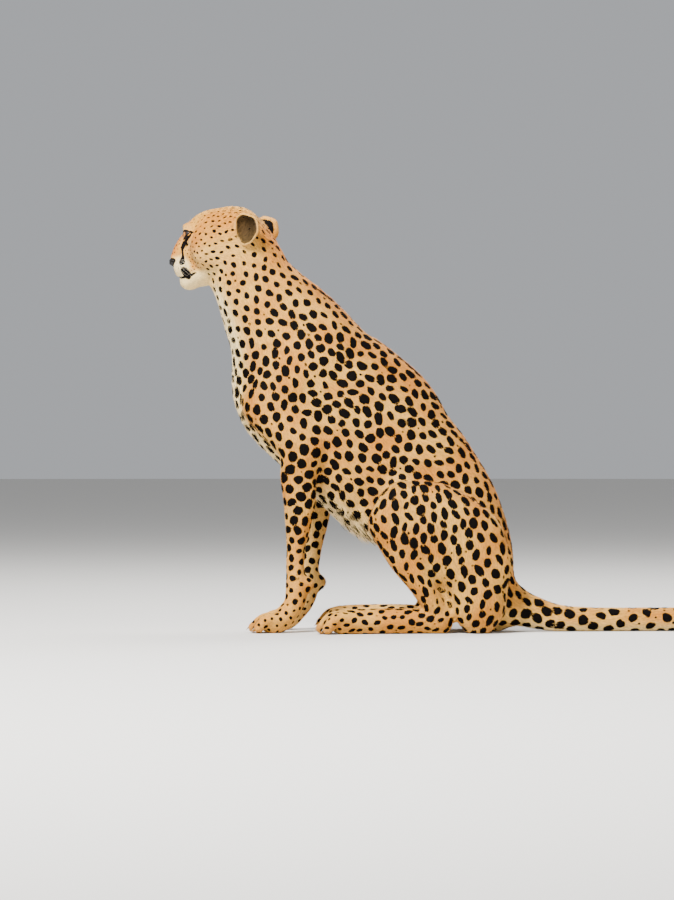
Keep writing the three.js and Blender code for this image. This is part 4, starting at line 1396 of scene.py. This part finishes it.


# The skin keeps the marks, the paleness, the warmth and the painted shade of ear cups and toe clefts.
for name, values in {"mark": mark, "pale": pale, "warm": warm, "shade": shade}.items():
    set_attribute(skin.data, name, values)
NO_SPOT = [9.0, 9.0, 1.0]  # a place far outside a small spot
for name, value in {"tip": 0.15, "tint": 0.5, "spot": NO_SPOT}.items():
    set_attribute(skin.data, name, np.full((len(points), *np.shape(value)), value))
print("black part of the skin:", round(float((mark < 0).mean()), 2))

# %% [markdown]
# ## The coat
# A tuft is a thin spike of a few triangles. It is rooted a little below the skin and leans far
# over along the lie of the coat, so that each covers the roots of the next. Short hair takes four
# triangles and long hair takes ten, because it also bends.

# %% Hair length, rise and density
def by_mouth(distance):
    """A distance on the front of the head, and far elsewhere."""
    near = (face_x < 90) & (z > 650)
    values = np.full(len(fold), float(FAR))
    values[near] = distance(fold[near])
    return values


lips = by_mouth(lambda fold: path_distance(fold, LIP_LINE))
tears = by_mouth(lambda fold: np.minimum(line(fold, TEAR_LINE), line(fold, LOWER_LID)))
hair = coat_length(points, found, weights, normals)
for where, length in ((ears, 4.2), (cup, 9.0), (lid < 5, 2.4), (nose_edge < 4, 2.2), (tears < 2, 2.6)):
    hair[where] = length
hair = soften(np.where(lips < 5, np.minimum(hair, 3.0), hair), pairs, 3)
wide = np.clip(2.0 * (hair / 11) ** 0.6, 0.7, 2.2)
bare = (nose_edge < 0.3) | (lid < 1.0) | (z < 1.2) | (lips < 1.2)
DENSITY = 0.21  # tufts on a square millimetre where the hair is 11 mm long
density = np.where(bare, 0, DENSITY * (11 / hair) ** 0.75)
rise = np.radians(16 + 6 * ramp(hair, 14, 24) + 12 * cup + 26 * shaggy(points) * down)
print("hair:", round(float(hair.min()), 1), "to", round(float(hair.max()), 1), "mm")

# %% Tufts
ROOT_DEPTH, ROOT_BACK = 0.5, 0.12  # how far a root is below the skin, and back for the tuft's length
OWN_SPOT_REACH = 15  # farther from the nearest spot than this, a tuft has none
PATCH = 0.003  # width of the patch of the unwrap that a tuft takes


def tuft_form(root, reach, up, sideways, length, width, droop, long):
    """The corners of the tufts, root first, with their triangles, heights and roundness."""

    def ring(centre, *shares):
        return [centre + way * width * share for way, share in zip((sideways, -sideways, up), shares)]

    rings = ring(root, 0.5, 0.5, 0.45)
    if not long:
        faces = [(0, 2, 3), (2, 1, 3), (0, 3, 1), (0, 1, 2)]
        return [*rings, root + reach * length], faces, [0, 0, 0, 1], [0.5, -0.5, 0, 0]
    middle = root + reach * length * 0.5
    bent = unit(reach - up * droop + [0, 0, -0.10])
    rings += [*ring(middle, 0.36, 0.36, 0.3), middle + bent * length * 0.5]
    faces = [(0, 2, 5), (0, 5, 3), (2, 1, 4), (2, 4, 5), (0, 3, 4), (0, 4, 1)]
    faces += [(3, 5, 6), (5, 4, 6), (3, 6, 4), (0, 1, 2)]
    return rings, faces, [0, 0, 0, 0.5, 0.5, 0.5, 1], [0.5, -0.5, 0, 0.35, -0.35, 0, 0]


def grow(count, density, long):
    """Many tufts: points, triangles, numbers for the paint, shading normals and UV places."""
    chosen, mix = scatter(density, count)
    root, up, ahead = (blend_at(values, chosen, mix) for values in (points, normals, lie))
    up = unit(up)
    turn = dice.normal(0, 0.16, (count, 1))
    ahead = unit(ahead - up * (ahead * up).sum(1, keepdims=True))
    sideways = np.cross(up, ahead)
    ahead = unit(ahead + sideways * turn)
    sideways = np.cross(up, ahead)
    length = blend_at(hair, chosen, mix) * dice.uniform(0.72, 1.18, count)
    width = blend_at(wide, chosen, mix) * dice.uniform(0.8, 1.2, count)
    angle = blend_at(rise, chosen, mix) * dice.uniform(0.7, 1.35, count)
    length, width, angle = (values[:, None] for values in (length, width, angle))
    root = root - up * ROOT_DEPTH - ahead * length * ROOT_BACK
    reach = ahead * np.cos(angle) + up * np.sin(angle)
    droop = 0.9 * np.sin(angle)
    rings, faces, heights, bulge = tuft_form(root, reach, up, sideways, length, width, droop, long)
    per, heights = len(rings), np.array(heights, float)
    vertices = np.stack(rings, axis=1)
    vertices[:, :, 2] = np.maximum(vertices[:, :, 2], 0.2)
    shading = up[:, None] + sideways[:, None] * np.array(bulge)[:, None]
    on_tail = blend_at(tail_part, chosen, mix)
    corner = triangles[chosen, mix.argmax(1)]
    root_mark, root_plain = markings(root, on_tail, ear_part[corner])
    tip_mark, tip_plain = markings(rings[-1], on_tail, ear_part[corner])
    # Each tuft carries its own place in the spot that is nearest to its middle.
    near = near_spots[corner]
    away = spot_distances(root + reach * length * 0.5, up, near)
    own = near[np.arange(count), away.argmin(0)]
    spot = np.stack([*in_spot(vertices, own[:, None]), np.repeat(spot_size[own, None] / 2, per, 1)], -1)
    spot[root_plain | tip_plain | (away.min(0) > OWN_SPOT_REACH)] = NO_SPOT
    tufts = {
        "tip": np.tile(heights, count),
        "tint": np.repeat(dice.random(count), per),
        "mark": (root_mark[:, None] + (tip_mark - root_mark)[:, None] * heights).ravel(),
        "spot": spot.reshape(-1, 3),
    }
    # Each tuft takes the paleness, warmth and painted shade of its root.
    for name, values in (("pale", pale), ("warm", warm), ("shade", shade)):
        tufts[name] = np.repeat(blend_at(values, chosen, mix), per)
    uv = read(skin.data.uv_layers["OFBake"].uv, "vector", 2).reshape(-1, 3, 2)[chosen]
    turns = np.arange(per) * 2 * math.pi / per
    patch = np.stack([np.cos(turns), np.sin(turns)], axis=1) * PATCH / 2
    uv = np.clip(np.einsum("nk,nkc->nc", mix, uv)[:, None] + patch, 0.001, 0.999).reshape(-1, 2)
    corners = (np.arange(count) * per)[:, None, None] + np.array(faces)
    return vertices.reshape(-1, 3), corners.reshape(-1, 3), tufts, unit(shading).reshape(-1, 3), uv


# %% Pieces of the coat
coat_objects = []


def coat_piece(name, points, faces, tufts, shading, uv):
    obj = make_object(name, points, faces)
    for key, values in tufts.items():
        set_attribute(obj.data, key, values)
    layer = obj.data.uv_layers.new(name="OFBake")
    layer.uv.foreach_set("vector", uv[faces.ravel()].astype(np.float32).ravel())
    obj.data.normals_split_custom_set_from_vertices(shading.astype(np.float32))
    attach(obj, "root")
    coat_objects.append(obj)
    print(name, len(faces), "triangles")


# %% Grow it, part by part
part_of = {
    "head": head_part,
    "neck": trunk_part * ramp(found["trunk"][1], 0.36, 0.30),
    "tail": tail_part,
    "forelegs": of_kind(weights, "foreleg"),
    "hind_legs": of_kind(weights, "shank", "hind_foot"),
    "haunches": of_kind(weights, "thigh"),
    "shoulders": of_kind(weights, "shoulder", "upper_arm"),
}
winner = np.stack([*part_of.values(), trunk_part * 0.999], axis=1).argmax(1)
regions = {name: winner == i for i, name in enumerate(part_of)}
back, along = winner == len(part_of), found["trunk"][1]
regions["loins"] = back & (along > 0.66)
regions["chest"] = back & (along <= 0.52)
regions["flanks"] = back & (along > 0.52) & (along <= 0.66)
LONG_HAIR, FEWEST_TUFTS = 15, 20
for name, region in regions.items():
    for long in (False, True):
        part = density * (region & ((hair > LONG_HAIR) == long))
        count = int((face_area * part[triangles].mean(1)).sum())
        if count >= FEWEST_TUFTS:
            coat_piece("coat_" + name + ("_long" if long else ""), *grow(count, part, long))
print("coat:", sum(len(o.data.polygons) for o in coat_objects), "triangles")

# %% [markdown]
# ## What isn't fur
# The eyes are balls with a cornea that stands out in front, wet rims lie on the lids, and the nose
# is a pad of bare leather with two comma-shaped nostrils. Whiskers and claws are tapered tubes.

# %% Tubes along curves
def tube(name, chains, closed=False, round_steps=2):
    """One mesh of round tubes: each chain is a list of points with a radius, in millimetres."""
    data = bpy.data.curves.new(name, "CURVE")
    data.dimensions = "3D"
    data.bevel_depth, data.bevel_resolution = 1.0, round_steps
    data.use_fill_caps = True
    for chain in chains:
        piece = data.splines.new("POLY")
        piece.points.add(len(chain) - 1)
        piece.use_cyclic_u = closed
        for point, (x, y, z, radius) in zip(piece.points, chain):
            point.co = (x * MM, y * MM, z * MM, 1)
            point.radius = radius * MM
    pick(new_object(name, data))
    bpy.ops.object.convert(target="MESH")
    bpy.ops.object.shade_smooth()
    return bpy.context.object


def head_chain(chain, side):
    """A chain of the head's frame, mirrored to a side and placed in the body's frame."""
    chain = np.asarray(chain, float)
    placed = from_head(chain[:, :3] * [1, side, 1])
    return np.c_[placed, chain[:, 3]]


# %% Eyes
CORNEA_RADIUS, CORNEA_SHIFT = 9.6, 6.4


def eye_object(name, side):
    """A ball whose pole is the pupil, with the distance from its axis kept for the iris."""
    rings, around = 44, 56
    polar = np.linspace(0.004, math.pi - 0.02, rings) ** 1.35
    polar = polar / polar[-1] * (math.pi - 0.02)
    turn = np.linspace(0, 2 * math.pi, around, endpoint=False)
    ball = EYE_RADIUS * np.ones(rings)
    inside = (CORNEA_SHIFT * np.cos(polar)) ** 2 - CORNEA_SHIFT**2 + CORNEA_RADIUS**2
    bulge = CORNEA_SHIFT * np.cos(polar) + np.sqrt(np.maximum(inside, 0))
    radius = np.where(inside > 0, smooth_max(ball, bulge, 0.8), ball)
    r, z = radius * np.sin(polar), radius * np.cos(polar)
    local = [np.outer(r, np.cos(turn)), np.outer(r, np.sin(turn)), np.repeat(z[:, None], around, 1)]
    placed = np.stack(local, -1).reshape(-1, 3) @ eye_axes + EYE_AT
    faces = lathe_faces(rings, around)
    if side == LEFT:
        faces = faces[:, ::-1]  # in the mirror image, corners run the other way round
    obj = make_object(name, from_head(placed * [1, side, 1]), faces)
    set_attribute(obj.data, "from_axis", np.repeat(np.sin(polar) * EYE_RADIUS, around))
    set_attribute(obj.data, "front", np.repeat((polar < 1.4).astype(float), around))
    close_and_turn_out(obj)
    return obj


eyes = {}
for name, side in SIDES.items():
    eyes[name] = eye_object("eyeball_" + name, side)
    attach(eyes[name], "root")
    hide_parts("eye_" + name)
    print("eye:", len(eyes[name].data.polygons), "faces")

# %% Wet rims of the lids
def rim_chain():
    across = np.linspace(-1, 1, 23)
    upper = [(u * EYE_HALF, LID_UP * max(1 - u * u, 0) ** 0.8) for u in across]
    lower = [(u * EYE_HALF, -LID_DOWN * max(1 - u * u, 0) ** 0.8) for u in across[-2:0:-1]]
    chain = []
    for u, v in upper + lower:
        out = math.sqrt(max((EYE_RADIUS + 1.1) ** 2 - u * u - v * v, 4))
        chain.append([*(np.array([u, v, out]) @ eye_axes + EYE_AT), 1.2])
    return chain


rims = tube("lid_rims", [head_chain(rim_chain(), side) for side in SIDES.values()], closed=True)
print("lid rims:", len(rims.data.polygons), "faces")

# %% Nose leather
pick()
bpy.ops.mesh.primitive_ico_sphere_add(subdivisions=6, radius=1)
nose = bpy.context.object
nose.name = nose.data.name = "nose_leather"
ball = vertex_array(nose.data)
shape = ball * [11.0, 14.8, 9.2]
low = ramp(-ball[:, 2], 0.0, 1.0)
shape[:, 1] *= 1 - 0.42 * low
shape[:, 2] += 1.2 * (1 - abs(ball[:, 1])) * ramp(ball[:, 2], 0, 1)
place = shape + [6.0, 0, -3.8]
nostril = path_distance(
    place * [1, 0, 1] + abs(place) * [0, 1, 0],
    [(-3.5, 6.2, -3.0), (-1, 9.6, -1.5), (5, 13.6, -4.0), (11, 15.5, -6.0)],
)
dent = 3.6 * bell(nostril, 1.9) - 0.7 * bell(nostril - 3.6, 1.5)
dent += 0.9 * bell(place[:, 1], 0.9) * ramp(-ball[:, 2], -0.3, 0.2)
place = place - unit(ball / [11.0, 14.8, 9.2]) * dent[:, None]
set_vertices(nose.data, from_head(place) * MM)
bpy.ops.object.shade_smooth()
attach(nose, "root")
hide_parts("nose")
print("nose leather:", len(nose.data.polygons), "faces")

# %% Whiskers and brow hairs
BROW_HAIRS = 4


def stiff_hair(root, way, sag, radius, steps, side):
    """A chain along a hair that leaves the skin one way and sags another."""
    shares = np.linspace(0, 1, steps)
    chain = [[*(root - unit(way) * 3 + way * t + sag * t * t), radius * (1 - t) + 0.03] for t in shares]
    return head_chain(chain, side)


chains = []
for side in SIDES.values():
    for i, root in enumerate(WHISKER_ROOTS):
        row, column = divmod(i, WHISKERS_IN_ROW)
        length = dice.uniform(50, 78) * (0.62 + 0.12 * column)
        way = unit(np.array([0.5, 0.75, -0.22 - 0.1 * row + 0.1 * dice.normal()])) * length
        chains.append(stiff_hair(root, way, np.array([0.45, -0.1, -0.35]) * length * 0.45, 0.15, 9, side))
    for k in range(BROW_HAIRS):
        root = np.array([56 + 4 * k, 26 + 3.4 * k, 53 + 1.2 * k])
        length = dice.uniform(18, 30)
        way = unit(np.array([0.1 + 0.14 * k, 0.45, 0.8])) * length
        chains.append(stiff_hair(root, way, np.array([0.5, 0, -0.1]) * length * 0.4, 0.18, 7, side))
whiskers = tube("whiskers", chains, round_steps=1)
print("whiskers and brow hairs:", len(chains))

# %% Claws
CLAW_LENGTH, CLAW_RADIUS = 15, 2.7
chains = []
for foot in feet.values():
    for toe in TOES:
        tip = foot.toe_points(toe)[2]
        chain = []
        for t in np.linspace(-0.35, 1, 12):
            place = tip + foot.ahead * CLAW_LENGTH * t + [0, 0, 4.0 - 10.5 * max(t, 0) ** 2]
            chain.append([*place, CLAW_RADIUS * max(1 - max(t, 0) ** 1.6, 0.1)])
        chains.append(chain)
claws = tube("claws", chains, round_steps=3)
print("claws:", len(chains))

for obj, slot in ((rims, "nose_leather"), (whiskers, "claw"), (claws, "claw")):
    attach(obj, "root")

# %% [markdown]
# ## Materials
# Fur is dry and soft: rough, with a faint sheen and hardly any shine. The same material dresses the
# skin and the coat, so that the spots of both fall together. The eye is wet and clear over an amber
# iris, the nose is moist black leather, and claws and whiskers are horn.

# %% Fur
TAWNY, TAWNY_PALE, ORANGE, CREAM, WHITE = "#CF852A", "#E3A94B", "#BA661F", "#EFC473", "#F9DFA6"
SPOT, SPOT_TIP = "#060403", "#120A06"


def fur_material():
    fur = Paint("cheetah_fur")
    tip, pale, warm = fur.number("tip"), fur.number("pale"), fur.number("warm")
    ground = fur.mix(fur.remap(fur.noise(70), 0.35, 0.65, 0, 1), TAWNY, TAWNY_PALE)
    for share, colour in (
        (fur.remap(warm, 0.2, 1, 0, 0.75), ORANGE),
        (fur.remap(pale, 0, 0.7, 0, 1), CREAM),
        (fur.remap(pale, 0.6, 1, 0, 0.8), WHITE),
    ):
        ground = fur.mix(share, ground, colour)
    value = fur.maths("MULTIPLY_ADD", tip, 0.40, 0.76)
    grain = fur.remap(fur.noise(5), 0.3, 0.7, 0.90, 1.08)
    own = fur.remap(fur.number("tint"), 0, 1, 0.78, 1.16)
    # The last factor is the painted shade: dark deep in the ear cups, partly for their darker inner skin,
    # and in the clefts between the toes.
    for share in (grain, own, fur.number("shade")):
        value = fur.maths("MULTIPLY", value, share)
    shaded = fur.node("VectorMath", {0: ground, "Scale": value}, operation="SCALE")[0]
    place = fur.node("Attribute", attribute_name="spot")["Vector"]
    along, across, size = fur.node("SeparateXYZ", {"Vector": place})
    reach = fur.maths("ADD", *(fur.maths("MULTIPLY", part, part) for part in (along, across)))
    reach = fur.maths("SUBTRACT", fur.maths("SQRT", reach), 1.0)
    mark = fur.maths("MINIMUM", fur.maths("MULTIPLY", reach, size), fur.number("mark"))
    ragged = fur.remap(fur.noise(3), 0.25, 0.75, -0.5, 0.5)
    uneven = fur.remap(fur.noise(14, 1), 0.3, 0.7, -1.6, 1.6)
    uneven = fur.maths("MULTIPLY", uneven, fur.remap(size, 3, 8, 0.25, 1))
    spot = fur.remap(fur.maths("ADD", fur.maths("ADD", mark, ragged), uneven), 0.45, -0.45, 0, 1)
    black = fur.mix(fur.remap(tip, 0.3, 1, 0, 0.6), SPOT, SPOT_TIP)
    return fur.finish(
        {
            "Base Color": fur.mix(spot, shaded, black),
            "Roughness": 0.75,
            "Specular IOR Level": fur.remap(spot, 0, 1, 0.15, 0.06),
            "Sheen Weight": fur.remap(spot, 0, 1, 0.05, 0),
            "Sheen Roughness": 0.5,
        }
    )


fur = fur_material()
skin.data.materials.clear()
for obj in (skin, *coat_objects):
    obj.data.materials.append(fur)

# %% Eye
def eye_material():
    eye = Paint("wet_amber_eye")
    fibres = eye.remap(eye.noise(1.1, 4), 0.3, 0.7, -0.02, 0.02)
    share = eye.maths("ADD", eye.maths("MULTIPLY", eye.number("from_axis"), 1 / EYE_RADIUS), fibres)
    behind = eye.maths("SUBTRACT", 1.0, eye.number("front"))
    colour = eye.node("ValToRGB", {0: eye.maths("ADD", share, behind)})[0]
    stops = colour.node.color_ramp.elements
    stops[0].color, stops[1].color = linear("#050404"), linear("#3A2A20")
    for place, colour_there in (
        (0.25, "#050404"),
        (0.28, "#9C5F1C"),
        (0.46, "#A86A22"),
        (0.58, "#5F350F"),
        (0.62, "#1B0F08"),
        (0.68, "#1D130D"),
    ):
        stops.new(place).color = linear(colour_there)
    wet = {"Coat Weight": 1.0, "Coat Roughness": 0.02, "Coat IOR": 1.38}
    return eye.finish({"Base Color": colour, "Roughness": 0.25, **wet})


# %% Nose leather and horn
def leather_material():
    leather = Paint("moist_nose_leather")
    pebbles = leather.texture("TexVoronoi", 0.9)["Distance"]
    bump = leather.node("Bump", {"Height": pebbles, "Strength": 0.35, "Distance": 0.25 * MM})["Normal"]
    colour = leather.mix(leather.noise(6), "#080605", "#15100E")
    moist = {"Roughness": 0.55, "Specular IOR Level": 0.2}
    return leather.finish({"Base Color": colour, "Normal": bump, **moist})


def horn_material(name, first, second, roughness):
    horn = Paint(name)
    return horn.finish({"Base Color": horn.mix(horn.noise(5), first, second), "Roughness": roughness})


leather = leather_material()
wet_eye = eye_material()
for obj in (nose, rims):
    obj.data.materials.append(leather)
for eye in eyes.values():
    eye.data.materials.append(wet_eye)
claws.data.materials.append(horn_material("claw_horn", "#C9B79C", "#5D4A38", 0.4))
whiskers.data.materials.append(horn_material("whisker_horn", "#E6DDCB", "#BFB29A", 0.45))
print("materials:", len(bpy.data.materials))
